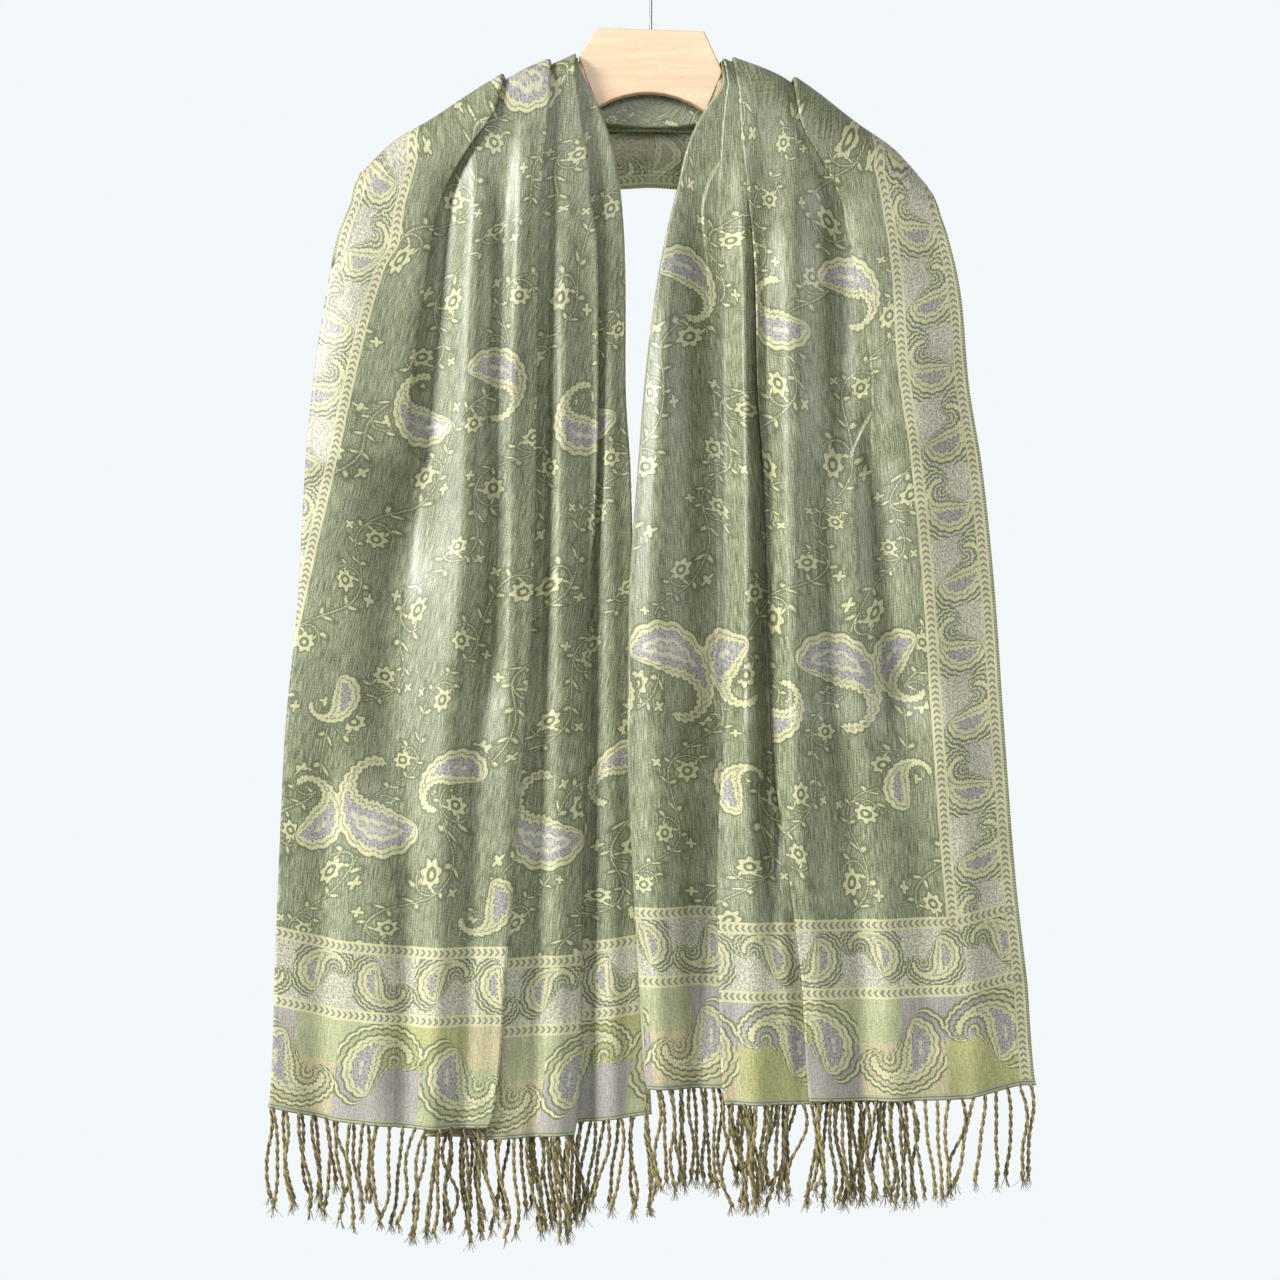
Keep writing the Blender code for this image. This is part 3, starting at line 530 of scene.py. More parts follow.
@dataclass
class FrontPanel:
    """One end of the shawl, hanging in front from the shoulder to its hem."""

    name: str
    node: str
    neck: tuple
    tip: tuple
    lines: tuple
    laps: tuple
    rolls: tuple
    creases: tuple
    hem: tuple
    flat: tuple
    motif_way: int
    motif_shift: tuple
    counts: tuple = (24, 34, 14, 46, 14, 58, 14, 50, 16)
    hem_layers: tuple = (0, 1, 1.5, 2.9, 3.6, 4.9, 5.6, 6.9, 7.5, 8, 9)
    arc_end: float = 14.2
    hem_from: float = 600.0
    fold_gap: float = 4.0
    settled_by: tuple = (30.0, 10.0)
    over_bend: tuple = (0, 0.8, 1.8, 3, 4.4, 6, 7.8, 9.8, 12, 14.5, 18)
    below_bend: float = 22.0
    rows: int = 146

    @property
    def outer_length(self) -> float:
        """From the shoulder line to the hem along the outer edge, in mm."""
        return self.hem[9] - self.tip[1] + DRAPE.bend

    def row(self, distance: float) -> ClothRow:
        """The section a distance below the shoulder line, along the cloth's outer edge."""
        outer_length = self.outer_length
        inner_length = self.hem[1] - self.neck[1] + DRAPE.bend
        distance = min(distance, outer_length)
        share = max(distance - self.arc_end, 0) / (outer_length - self.arc_end)
        longer = (inner_length - outer_length) * (1 - (1 - share) ** 3)
        outer_drop = self.tip[1] + DRAPE.drop_along(distance)
        inner_drop = self.neck[1] + DRAPE.drop_along(distance + longer)
        near, at_tip = (1 - float(smooth(0, reach, distance)) for reach in self.settled_by)
        inner_x = column(self.lines, "inner", inner_drop) * (1 - near) + self.neck[0] * near
        outer_x = column(self.lines, "outer", outer_drop) * (1 - at_tip) + self.tip[0] * at_tip
        inner, outer = np.array([inner_x, inner_drop]), np.array([outer_x, outer_drop])
        length = float(np.linalg.norm(outer - inner))
        folds = []
        for name in ("fold1", "fold2", "fold3"):
            along = 0.4
            for _ in range(8):
                drop = inner_drop + along * (outer_drop - inner_drop)
                along = (column(self.lines, name, drop) - inner_x) / (outer_x - inner_x)
            folds.append(float(along) * length)
        folds[2] = max(folds[2], self.fold_gap)
        folds[1] = max(folds[1], folds[2] + self.fold_gap)
        middle = (inner_drop + outer_drop) / 2
        laps = Laps(0, *(column(self.laps, name, middle) for name in Laps._fields[1:]))
        laps = laps.blend(self.laps[0], near)
        laps = laps._replace(lap1=min(laps.lap1, DRAPE.lap_limit * length - folds[0]))
        line = Section(length, folds, laps, self.counts).line()
        hem_share = max(distance - self.hem_from, 0) / (outer_length - self.hem_from)
        hem = (self.hem_layers, self.hem)
        return ClothRow(inner, outer, laps, Facing.FRONT, line, self.rolls, self.creases, hem, hem_share)

    def distances(self) -> np.ndarray:
        """Where the sections lie: close together over the shoulder's bend, then even."""
        even = np.linspace(self.below_bend, self.outer_length, self.rows - len(self.over_bend))
        return np.concatenate([self.over_bend, even])

    def threads(self, row: ClothRow, distance: float) -> np.ndarray:
        """Cloth places of a section's points: across and along, then the motifs' own."""
        _, drop, _ = row.flat_places(0.0)
        excess = DRAPE.bend - (distance - DRAPE.drop_along(distance))
        along = np.interp(row.line[:, 2], self.hem_layers, self.hem) - drop + max(excess, 0)
        return self.cloth_places(row.line[:, 4], along)

    def cloth_places(self, across: np.ndarray, along: np.ndarray) -> np.ndarray:
        """Puts a section's cloth places beside those that this end's motifs are drawn at."""
        shift = self.motif_shift
        return np.stack([across, along, across + shift[0], self.motif_way * along + shift[1]], axis=1)

    def build(self, materials: tuple, fringe: Object) -> Object:
        """Args:
            materials: the face side's finish and the reverse side's.
            fringe: the cords that hang from its hem; not used.

        Returns:
            The piece.
        """
        distances = self.distances()
        rows = [self.row(distance) for distance in distances]
        threads = [self.threads(row, distance) for row, distance in zip(rows, distances)]
        obj = cloth_shell(self.name, rows, threads, materials)
        stand_for(obj, self.node)
        return obj


@dataclass
class NeckStretch:
    """The stretch of the shawl that runs behind the neck from shoulder to shoulder."""

    left: FrontPanel
    right: FrontPanel
    sections: tuple
    folds: tuple = (0.30, 0.17, 0.07)
    laps: Laps = Laps(0, 10, 18, 26, -12, 33, 0)
    name: str = "neck_stretch"
    node: str = "back_neck"
    flat: tuple = (0.33, 0.30)
    rows: int = 110

    def ridge(self, panel: FrontPanel) -> tuple:
        """A shoulder's section, turned behind, and its folds as shares of its length."""
        row = panel.row(0.0)
        turns = [row.line[row.line[:, 2] == layer][:, 0].min() for layer in (7, 5, 3)]
        behind = ClothRow(row.inner, row.outer, row.laps, Facing.BEHIND, row.line)
        return behind, [turn / row.length for turn in turns]

    def row(self, place: float, ridges: list) -> ClothRow:
        """The section at a place that counts the table's rows, between the two ridges."""
        at = np.arange(len(self.sections))
        across = Across(*(float(np.interp(place, at, known)) for known in zip(*self.sections)))
        inner, outer = np.array([across.neck_x, across.neck_drop]), np.array([across.foot_x, across.foot_drop])
        length = float(np.linalg.norm(outer - inner))
        ridge, shares = ridges[0] if across.neck_x < 0 else ridges[1]
        share = float(smooth(0, 1, across.share))
        folds = [length * (a * (1 - share) + b * share) for a, b in zip(shares, self.folds)]
        laps = ridge.laps.blend(self.laps, share)
        line = Section(length, folds, laps, self.left.counts).line()
        return ClothRow(inner, outer, laps, Facing.BEHIND, line)

    def build(self, materials: tuple) -> Object:
        ridges = [self.ridge(panel) for panel in (self.left, self.right)]
        places = np.linspace(0, len(self.sections) - 1, self.rows)
        rows = [ridges[0][0], *(self.row(float(place), ridges) for place in places), ridges[1][0]]
        obj = cloth_shell(self.name, rows, self.threads(rows), materials)
        stand_for(obj, self.node)
        return obj

    def threads(self, rows: list) -> list:
        """Cloth places along the stretch, which go on from those of both fronts."""
        middles = np.array([row.world() for row in rows])
        steps = np.linalg.norm(np.diff(middles, axis=0), axis=2)
        walked = np.concatenate([np.zeros((1, steps.shape[1])), np.cumsum(steps, axis=0)])
        halves = []
        for panel, gone in ((self.left, walked), (self.right, walked[-1] - walked)):
            along = panel.threads(panel.row(0.0), 0.0)[:, 1] + gone
            halves.append([panel.cloth_places(row.line[:, 4], ways) for row, ways in zip(rows, along)])
        return halves[0][: len(rows) // 2] + halves[1][len(rows) // 2 :]


def table(kind: type, *rows: tuple) -> tuple:
    """Makes a table's rows, all of one kind."""
    return tuple(kind(*row) for row in rows)


LEFT_FRONT = FrontPanel(
    name="cloth_left",
    node="front_left",
    neck=DRAPE.left_neck,
    tip=DRAPE.left_tip,
    lines=table(
        Lines,
        *((14, -216, -82, -74, -61, -56), (48, -216, -101, -76, -55, -44), (86, -216, -132, -79, -50, -30)),
        *((116, -216, -151, -82, -46, -24), (124, -221, -155, -82, -46, -23)),
        (145, -230.5, -161, -83, -43, -21),
        *((160, -236, -164, -84, -41, -20), (205, -244, -171, -85, -40, -19), (265, -253, -179, -86, -40, -19)),
        *((340, -260, -184, -87, -41, -15), (430, -265, -187, -89, -46, -13), (535, -275, -188, -96, -49, -10)),
        *((640, -280, -190, -103, -51, -6), (738, -284, -191, -112, -53, -2), (830, -289, -193, -125, -59, 1)),
    ),
    laps=table(
        Laps,
        *((14, 60, 50, 38, -12, 110, 0), (126, 52, 50, 36, -12, 120, 0), (165, 46, 50, 34, 10, 126, 0)),
        *((250, 30, 48, 32, 22, 136, -1), (300, 10, 48, 32, 28, 142, -2), (335, -18, 48, 32, 34, 146, -3)),
        *((430, -18, 47, 32, 50, 150, -4), (640, -18, 47, 34, 72, 150, -4), (835, -18, 47, 34, 88, 146, -4)),
    ),
    rolls=table(
        Roll, (-214, 150, -264, 520, 24, 4.5), (-122, 150, -160, 840, 22, 5.0), (-66, 190, -86, 840, 12, 2.5)
    ),
    creases=table(
        Roll,
        *((-92, 60, -108, 300, 9, 4.0), (-148, 100, -175, 360, 14, -10.0), (-131, 80, -140, 430, 11, 4.5)),
        *((-110, 120, -120, 450, 10, -8.0), (-186, 330, -198, 560, 20, -9.0), (-222, 260, -236, 700, 20, 3.5)),
        *((-147, 400, -160, 800, 14, 4.0), (-128, 440, -146, 830, 12, -8.0), (-241, 540, -250, 860, 15, -8.0)),
        *((-204, 540, -206, 860, 12, 3.5), (-180, 560, -182, 860, 10, -4.5), (-64, 110, -69, 830, 7, 3.0)),
        *((-77, 200, -88, 850, 7, -5.5), (-32, 120, -28, 840, 8, 3.5), (-44, 230, -49, 840, 7, -5.5)),
        (-101, 190, -112, 860, 7, 3.0),
    ),
    hem=(822, 818, 824, 832, 836, 826, 827, 826, 822, 812, 806),
    flat=(0.70, 0.74),
    motif_way=1,
    motif_shift=(0.0, 0.0),
)

RIGHT_FRONT = FrontPanel(
    name="cloth_right",
    node="front_right",
    neck=DRAPE.right_neck,
    tip=DRAPE.right_tip,
    lines=table(
        Lines,
        *((32, 205, 84, 67, 61, 56.6), (48, 205, 90, 66, 57, 49), (86, 205, 118, 68, 53, 29)),
        *((125, 205.5, 140.2, 72.4, 51.2, 19.2), (132, 210.5, 143.2, 73.1, 51.1, 17.5)),
        *((141, 216.5, 144.8, 74.3, 51.8, 15.3), (155, 222, 147, 76, 53, 12), (205, 233, 157, 79, 58, 3)),
        *((265, 238, 165, 80, 61, -4), (340, 250, 167, 85, 64, -10), (430, 259, 173, 88, 65, -16)),
        *((535, 266, 179, 91, 55, -17), (640, 274, 185, 104, 50, -13), (738, 285, 193, 115, 52, -7)),
        (830, 293, 200, 121, 59, 1),
    ),
    laps=table(
        Laps,
        *((14, 60, 50, 38, -12, 105, 8), (90, 55, 52, 22, -12, 108, 7), (120, 50, 54, 8, -12, 114, 5)),
        *((145, 45, 56, -8, -12, 122, 4), (170, 40, 57, -14, -12, 128, 4), (250, 20, 58, -14, -12, 148, 4)),
        *((298, -8, 58, -14, -12, 156, 6), (330, -18, 60, -14, -12, 160, 8), (490, -18, 64, -14, -12, 158, 11)),
        *((560, -18, 66, 8, -12, 146, 11), (640, -18, 70, 34, -12, 124, 11), (835, -18, 78, 58, -12, 62, 11)),
    ),
    rolls=table(
        Roll,
        *((14, 170, 12, 760, 20, 5.0), (73, 110, 76, 840, 10, 5.0), (108, 120, 112, 700, 17, 5.0)),
        (180, 190, 224, 840, 27, 5.5),
    ),
    creases=table(
        Roll,
        *((12, 150, 1, 420, 12, 4.5), (1, 400, 6, 860, 13, 4.5), (44, 150, 40, 660, 20, -12.0)),
        *((57, 190, 56, 560, 9, -5.0), (30, 620, 34, 860, 9, -6.0), (70, 90, 71, 520, 8, 6.0)),
        *((85, 190, 90, 600, 8, -11.0), (103, 80, 109, 540, 12, 5.0), (137, 115, 143, 310, 15, -11.0)),
        *((149, 250, 160, 580, 10, 4.5), (166, 290, 179, 500, 14, -9.0), (122, 330, 134, 600, 11, -7.0)),
        *((198, 200, 243, 850, 18, 3.5), (88, 600, 84, 860, 13, 4.5), (190, 450, 212, 740, 17, -8.0)),
        *((150, 540, 160, 860, 15, -8.0), (172, 640, 186, 860, 12, 3.0), (222, 560, 236, 860, 10, -3.5)),
    ),
    hem=(794, 797, 797, 808, 808, 805, 806, 805, 804, 795, 795),
    flat=(0.70, 0.72),
    motif_way=-1,
    motif_shift=(18.0, 552.0),
)

NECK = NeckStretch(
    left=LEFT_FRONT,
    right=RIGHT_FRONT,
    sections=table(
        Across,
        *((-56.1, 24.4, -215.5, 117.4, 0.0), (-55.3, 28.2, -214, 121.4, 0.02), (-52.4, 33.5, -210, 128, 0.06)),
        *((-46, 36, -190, 134, 0.25), (-38, 38, -150, 131, 0.6), (-21, 39, -80, 121, 0.9), (0, 39, 0, 116, 1)),
        *((21, 40, 78, 122, 0.9), (38, 43, 140, 134, 0.6), (47, 44, 180, 141, 0.25)),
        *((52.5, 43.5, 199, 137, 0.06), (54.3, 38.2, 203, 130.4, 0.02), (54.8, 34.5, 204.5, 126.4, 0.0)),
    ),
)


# --------------------------------------------------------------------------------------
# The fringe
# --------------------------------------------------------------------------------------


class Tubes:
    """Closed tubes, gathered into one mesh."""

    def __init__(self) -> None:
        """Starts with none."""
        self.points: list = []
        self.faces: list = []
        self.shades: list = []

    def add(self, line: np.ndarray, radius: float | np.ndarray, shade: float, sides: int) -> None:
        """Adds one tube.

        Args:
            line: its middle line, in mm, running down.
            radius: one radius, or one for each point of the line.
            shade: the ply's tone, from dark at 0 to tan at 1, which the yarn's colour reads.
            sides: how many sides it has.
        """
        angles = np.arange(sides) * TURN / sides
        ring = np.stack([np.cos(angles), np.sin(angles), 0 * angles], axis=1)
        around = np.broadcast_to(radius, len(line))[:, None, None] * ring
        start = len(self.points)
        self.points += list((line[:, None] + around).reshape(-1, 3))
        self.shades += [shade] * (len(self.points) - start)
        last = len(self.points) - sides
        for at in range(start, last, sides):
            for k in range(sides):
                here, beside = at + k, at + (k + 1) % sides
                self.faces.append((beside, here, here + sides, beside + sides))
        self.faces.append(tuple(range(start, start + sides)))
        self.faces.append(tuple(range(last + sides - 1, last - 1, -1)))


@dataclass
class Fringe:
    """The twisted cords under one hem, each of two plies, with a knot and a frayed tip.

    Sizes are in mm, and what a random draw turns is given for one standard deviation.
    """

    panel: FrontPanel
    name: str
    node: str
    seed: int
    cords: int = 72
    length: float = 74.0
    length_spread: float = 3.5
    twist_take_up: float = 4.0
    into_hem: float = 1.5
    leans: tuple = ((7.0, 23.0, 0), (4.0, 11.0, 2))  # height, length and start of each wave
    lean_spread: float = 2.5
    bows: tuple = (2.4, 1.8, 0.9)  # of one arc, of two and of the tip's own
    forward: tuple = (0.8, 0.6)  # of the whole cord and of its waves
    ply_radius: float = 1.0
    ply_apart: float = 0.82
    ply_tone: float = 0.55
    cord_tone: tuple = (0.5, 0.22, 0.4)  # its middle, its spread and its weight
    phase_step: float = 1.7
    ply_sides: int = 5
    rings: int = 26
    turn_length: float = 12.0
    knot: float = 0.45
    knot_at: float = 0.93
    knot_share: float = 0.035
    tuft_hairs: int = 12
    hair_radius: float = 0.26
    hair_spread: tuple = (2.6, 1.4)
    hair_length: tuple = (6.0, 5.0)
    hair_tone: tuple = (0.3, 0.6)

    def roots(self) -> np.ndarray:
        """Where the cords leave the hem, evenly along the cloth, in mm."""
        top = self.panel.row(self.panel.outer_length).world()
        length = np.concatenate([[0], np.cumsum(np.linalg.norm(np.diff(top, axis=0), axis=1))])
        wanted = (np.arange(self.cords) + 0.5) / self.cords * length[-1]
        return np.stack([np.interp(wanted, length, part) for part in top.T], axis=1)

    def middle(self, root: np.ndarray, share: np.ndarray, length: float, wave: np.ndarray) -> np.ndarray:
        """A cord's middle line, which leans and bends a little.

        Args:
            root: where it starts.
            share: the places along it, from 0 to 1.
            length: how long it hangs, in mm.
            wave: its own six draws.

        Returns:
            One point for each place, in mm.
        """
        lean = sum(size * math.sin(root[0] / period + start) for size, period, start in self.leans)
        lean = lean + self.lean_spread * wave[0]
        single, double, tip = self.bows
        bow = np.sin(share * math.pi) * single * wave[2] + np.sin(share * TURN) * double * wave[3]
        bow = bow + np.sin(share * 3.3 * math.pi + wave[4]) * tip * share
        forward = self.forward[0] * wave[4] * share + self.forward[1] * np.sin(share * 5 + wave[5])
        down = self.into_hem - (length + self.into_hem) * share
        return root + np.stack([lean * share**1.4 + bow, forward, down], axis=1)

    def build(self, material: Material) -> Object:
        """Makes the cords and lets them stand for their solid."""
        rng = np.random.default_rng(self.seed)
        tubes = Tubes()
        share, steps = np.linspace(0, 1, self.rings), np.linspace(0, 1, 4)
        knot = 1 + self.knot * np.exp(-(((share - self.knot_at) / self.knot_share) ** 2))
        for number, root in enumerate(self.roots()):
            wave = rng.normal(0, 1, 6)
            length = self.length + self.length_spread * wave[1] - self.twist_take_up
            middle = self.middle(root, share, length, wave)
            tone = float(np.clip(self.cord_tone[0] + self.cord_tone[1] * wave[5], 0, 1))
            for ply in (0, 1):
                turn = share * length / self.turn_length * TURN + number * self.phase_step + ply * math.pi
                around = np.stack([np.cos(turn), np.sin(turn), 0 * turn], axis=1)
                around = around * (self.ply_apart * knot)[:, None]
                shade = ply * self.ply_tone + tone * self.cord_tone[2]
                tubes.add(middle + around, self.ply_radius * knot, shade, self.ply_sides)
            for _ in range(self.tuft_hairs):
                out = rng.normal(0, 1, 2) * self.hair_spread
                down = self.hair_length[0] + self.hair_length[1] * rng.random()
                hair = middle[-2] + np.stack([*(out[:, None] * steps**1.3), -down * steps], axis=1)
                tubes.add(hair, self.hair_radius, self.hair_tone[0] + self.hair_tone[1] * rng.random(), sides=3)
        obj = new_object(self.name, np.array(tubes.points), tubes.faces, (material,))
        shade = obj.data.attributes.new("shade", "FLOAT", "POINT")
        shade.data.foreach_set("value", np.array(tubes.shades, np.float32))
        stand_for(obj, self.node)
        return obj


# --------------------------------------------------------------------------------------
# Finishes
# --------------------------------------------------------------------------------------


def new_material(name: str) -> tuple[Material, partial]:
    """A new material, and add_node for its tree."""
    material = bpy.data.materials.new(name)
    material.use_nodes = True
    return material, partial(add_node, material.node_tree)


def finish(material: Material, sockets: dict) -> Material:
    """Fills the named sockets of a material's shader and gives the material back."""
    shader = material.node_tree.nodes["Principled BSDF"]
    for name, value in sockets.items():
        plug(material.node_tree, shader.inputs[name], value)
    return material


def new_group(name: str, inputs: dict[str, str]) -> tuple[NodeTree, partial, list]:
    """A new node group that gives a distance.

    Args:
        name: what it draws.
        inputs: socket name to socket type, Float or Vector.

    Returns:
        The group's tree, add_node for it, and the sockets of what comes in.
    """
    tree = bpy.data.node_groups.new(name, "ShaderNodeTree")
    for label, kind in inputs.items():
        tree.interface.new_socket(label, in_out="INPUT", socket_type="NodeSocket" + kind)
    tree.interface.new_socket("Distance", in_out="OUTPUT", socket_type="NodeSocketFloat")
    n = partial(add_node, tree)
    return tree, n, list(n("NodeGroupInput").outputs)[: len(inputs)]


def polar(n: partial, spot: Node, centre: tuple) -> tuple[Node, Node]:
    """A spot's distance from a centre, and its angle."""
    moved = n("VectorMath", spot, (*centre, 0.0), operation="SUBTRACT")
    x, y, _ = n("SeparateXYZ", moved).outputs
    return n("VectorMath", moved, operation="LENGTH"), n("ARCTAN2", y, x)


def either_way(n: partial, number: Node) -> Node:
    """1 for an even number and -1 for an odd one."""
    return n("MULTIPLY_ADD", n("FLOORED_MODULO", number, 2.0), -2.0, 1.0)


@dataclass(frozen=True)
class Boteh:
    """One teardrop of the field: its place and length in mm, and its turn in degrees."""

    across: float
    along: float
    size: float
    turn: float = 0.0
    mirrored: bool = False


@dataclass(frozen=True)
class Teardrop:
    """A teardrop's shape for a length of 1: an arc that is broad near its start, curls to a
    point and has scalloped edges."""

    centre: tuple = (0.2, 0.02)
    radius: float = 0.46
    curl: float = 0.33
    start: float = math.radians(215)
    sweep: float = math.radians(235)
    scallops: int = 8
    scallop_depth: float = 0.022
    drawn_in: float = 0.042
    half_widths: tuple = (
        *((0, 0), (0.03, 0.13), (0.1, 0.22), (0.2, 0.25), (0.34, 0.19), (0.5, 0.11), (0.7, 0.07)),
        *((0.9, 0.065), (1, 0)),
    )

    def build(self) -> NodeTree:
        """Makes the group that gives the distance to its edge, or to what is nearer."""
        vectors, floats = ("Place", "Centre", "Scale"), ("Turn", "Size", "Near")
        inputs = {**dict.fromkeys(vectors, "Vector"), **dict.fromkeys(floats, "Float")}
        tree, n, (place, centre, scale, turn, size, near) = new_group("boteh", inputs)
        moved = n("VectorMath", place, centre, operation="SUBTRACT")
        turned = n("VectorRotate", moved, None, turn, rotation_type="Z_AXIS")
        reach, angle = polar(n, n("VectorMath", turned, scale, operation="MULTIPLY"), self.centre)
        swept = n("FLOORED_MODULO", n("SUBTRACT", self.start, angle), TURN)
        share = n("MULTIPLY", swept, 1 / self.sweep)
        width = n("FloatCurve", None, share)
        curve = width.mapping.curves[0]
        for _ in self.half_widths[2:]:
            curve.points.new(0.5, 0.5)
        for point, spot in zip(curve.points, self.half_widths):
            point.location = spot
        width.mapping.update()
        off = n("ABSOLUTE", n("ADD", reach, n("MULTIPLY_ADD", share, self.curl, -self.radius)))
        scallop = n("ABSOLUTE", n("SINE", n("MULTIPLY", share, TURN * self.scallops)))
        edge = n("MULTIPLY_ADD", scallop, -self.scallop_depth, n("SUBTRACT", off, width))
        edge = n("MULTIPLY", n("ADD", edge, self.drawn_in), size)
        n("NodeGroupOutput", n("MINIMUM", edge, near))
        return tree


@dataclass(frozen=True)
class Vines:
    """Curling stems with leaf pairs, seven-petalled flowers and four-petalled buds, in mm.

    They stand in columns, and every other column is turned round and shifted.
    """

    column_width: float = 57.5
    stagger: float = 41.0
    bend: float = 48.0
    swing: float = 11.0
    steepness: float = 0.85
    line: float = 0.6
    curl_centre: tuple = (-3.0, 2.0)
    curl_reach: float = 14.0
    curl_in: float = 1.05
    curl_end: float = 2.5
    leaf_step: float = 16.0
    curl_leaves: float = 4.5
    leaf_start: float = 6.0
    leaf_lean: float = 0.55
    leaf_out: float = 3.3
    leaf_size: tuple = (2.9, 1.5)
    flower_radius: float = 7.4
    flower_petals: float = 7.0
    flower_petal: float = 1.2
    flower_eye: tuple = (2.9, 0.7)
    bud_centre: tuple = (20.5, 3.0)
    bud_radius: float = 3.2
    bud_petals: float = 4.0
    bud_petal: float = 1.3

    def build(self) -> NodeTree:
        """Makes the group that gives the distance to the nearest stem, leaf or petal."""
        tree, n, (place,) = new_group("vines", {"Place": "Vector"})
        x, y, _ = n("SeparateXYZ", place).outputs
        columns = n("MULTIPLY", x, 1 / self.column_width)
        number = n("FLOOR", columns)
        way = either_way(n, number)
        x = n("MULTIPLY_ADD", n("SUBTRACT", columns, number), self.column_width, -self.column_width / 2)
        y = n("MULTIPLY_ADD", number, self.stagger, n("MULTIPLY", y, way))
        bends = n("MULTIPLY", y, 1 / self.bend)
        number = n("FLOOR", bends)
        x = n("MULTIPLY", n("MULTIPLY", x, way), either_way(n, number))
        y = n("MULTIPLY_ADD", n("SUBTRACT", bends, number), self.bend, -self.bend / 2)
        spot = n("CombineXYZ", x, y)
        stem = n("MULTIPLY_ADD", n("COSINE", n("MULTIPLY", y, math.pi / self.bend)), -self.swing, x)
        stem = n("MULTIPLY", n("ABSOLUTE", stem), self.steepness)
        reach, angle = polar(n, spot, self.curl_centre)
        swept = n("FLOORED_MODULO", angle, TURN)
        curl = n("SUBTRACT", reach, n("MULTIPLY_ADD", swept, -self.curl_in, self.curl_reach))
        past = n("GREATER_THAN", swept, self.curl_end)
        curl = n("MULTIPLY_ADD", past, FAR, n("ABSOLUTE", curl))
        nearest = n("MINIMUM", stem, curl)
        by_stem, by_curl = n("MULTIPLY", y, 1 / self.leaf_step), n("MULTIPLY", swept, self.curl_leaves / TURN)
        step = n("FRACT", n("Mix", n("LESS_THAN", curl, stem), by_stem, by_curl))
        step = n("MULTIPLY_ADD", step, self.leaf_step, -self.leaf_start)
        step = n("MULTIPLY_ADD", nearest, -self.leaf_lean, step)
        leaf = n("CombineXYZ", n("SUBTRACT", nearest, self.leaf_out), step)
        broad, long = self.leaf_size
        leaf = n("VectorMath", leaf, (1 / broad, 1 / long, 0.0), operation="MULTIPLY")
        leaf = n("MULTIPLY_ADD", n("VectorMath", leaf, operation="LENGTH"), long, -long)
        petals = n("COSINE", n("MULTIPLY", angle, self.flower_petals))
        flower = n("ADD", reach, n("MULTIPLY_ADD", petals, -self.flower_petal, -self.flower_radius))
        at, half = self.flower_eye
        flower = n("MAXIMUM", flower, n("SUBTRACT", half, n("ABSOLUTE", n("ADD", reach, -at))))
        reach, angle = polar(n, spot, self.bud_centre)
        petals = n("SINE", n("MULTIPLY", angle, self.bud_petals))
        bud = n("ADD", reach, n("MULTIPLY_ADD", petals, -self.bud_petal, -self.bud_radius))
        shape = n("SUBTRACT", nearest, self.line)
        for other in (leaf, flower, bud):
            shape = n("MINIMUM", shape, other)
        n("NodeGroupOutput", shape)
        return tree


@dataclass(frozen=True)
class Threads:
    """The colours of the cloth's threads, as they show on one side of it."""

    ground_dark: str = "#525B3B"
    ground_light: str = "#93957A"
    line: str = "#5F644A"
    cream: str = "#B2B087"
    core_dark: str = "#77726C"
    core_light: str = "#ABA6A6"
    border_dark: str = "#88847A"
    border_light: str = "#B9B69C"
    boxes: tuple = ("#A2A06C", "#B0A682", "#9C968E", "#A0A27C")


class Woven(NamedTuple):
    """What the steps of a jacquard share: add_node for its tree, and nodes for the rest."""

    n: partial
    place: Node  # on the cloth, in mm
    across: NodeSocket
    along: NodeSocket
    in_hem: Node  # 1 in the bands above the hem
    in_boxes: Node  # 1 in the lower one of them
    grain: Node  # the threads' speckle
    jag: Node  # the small unevenness of an edge, in mm


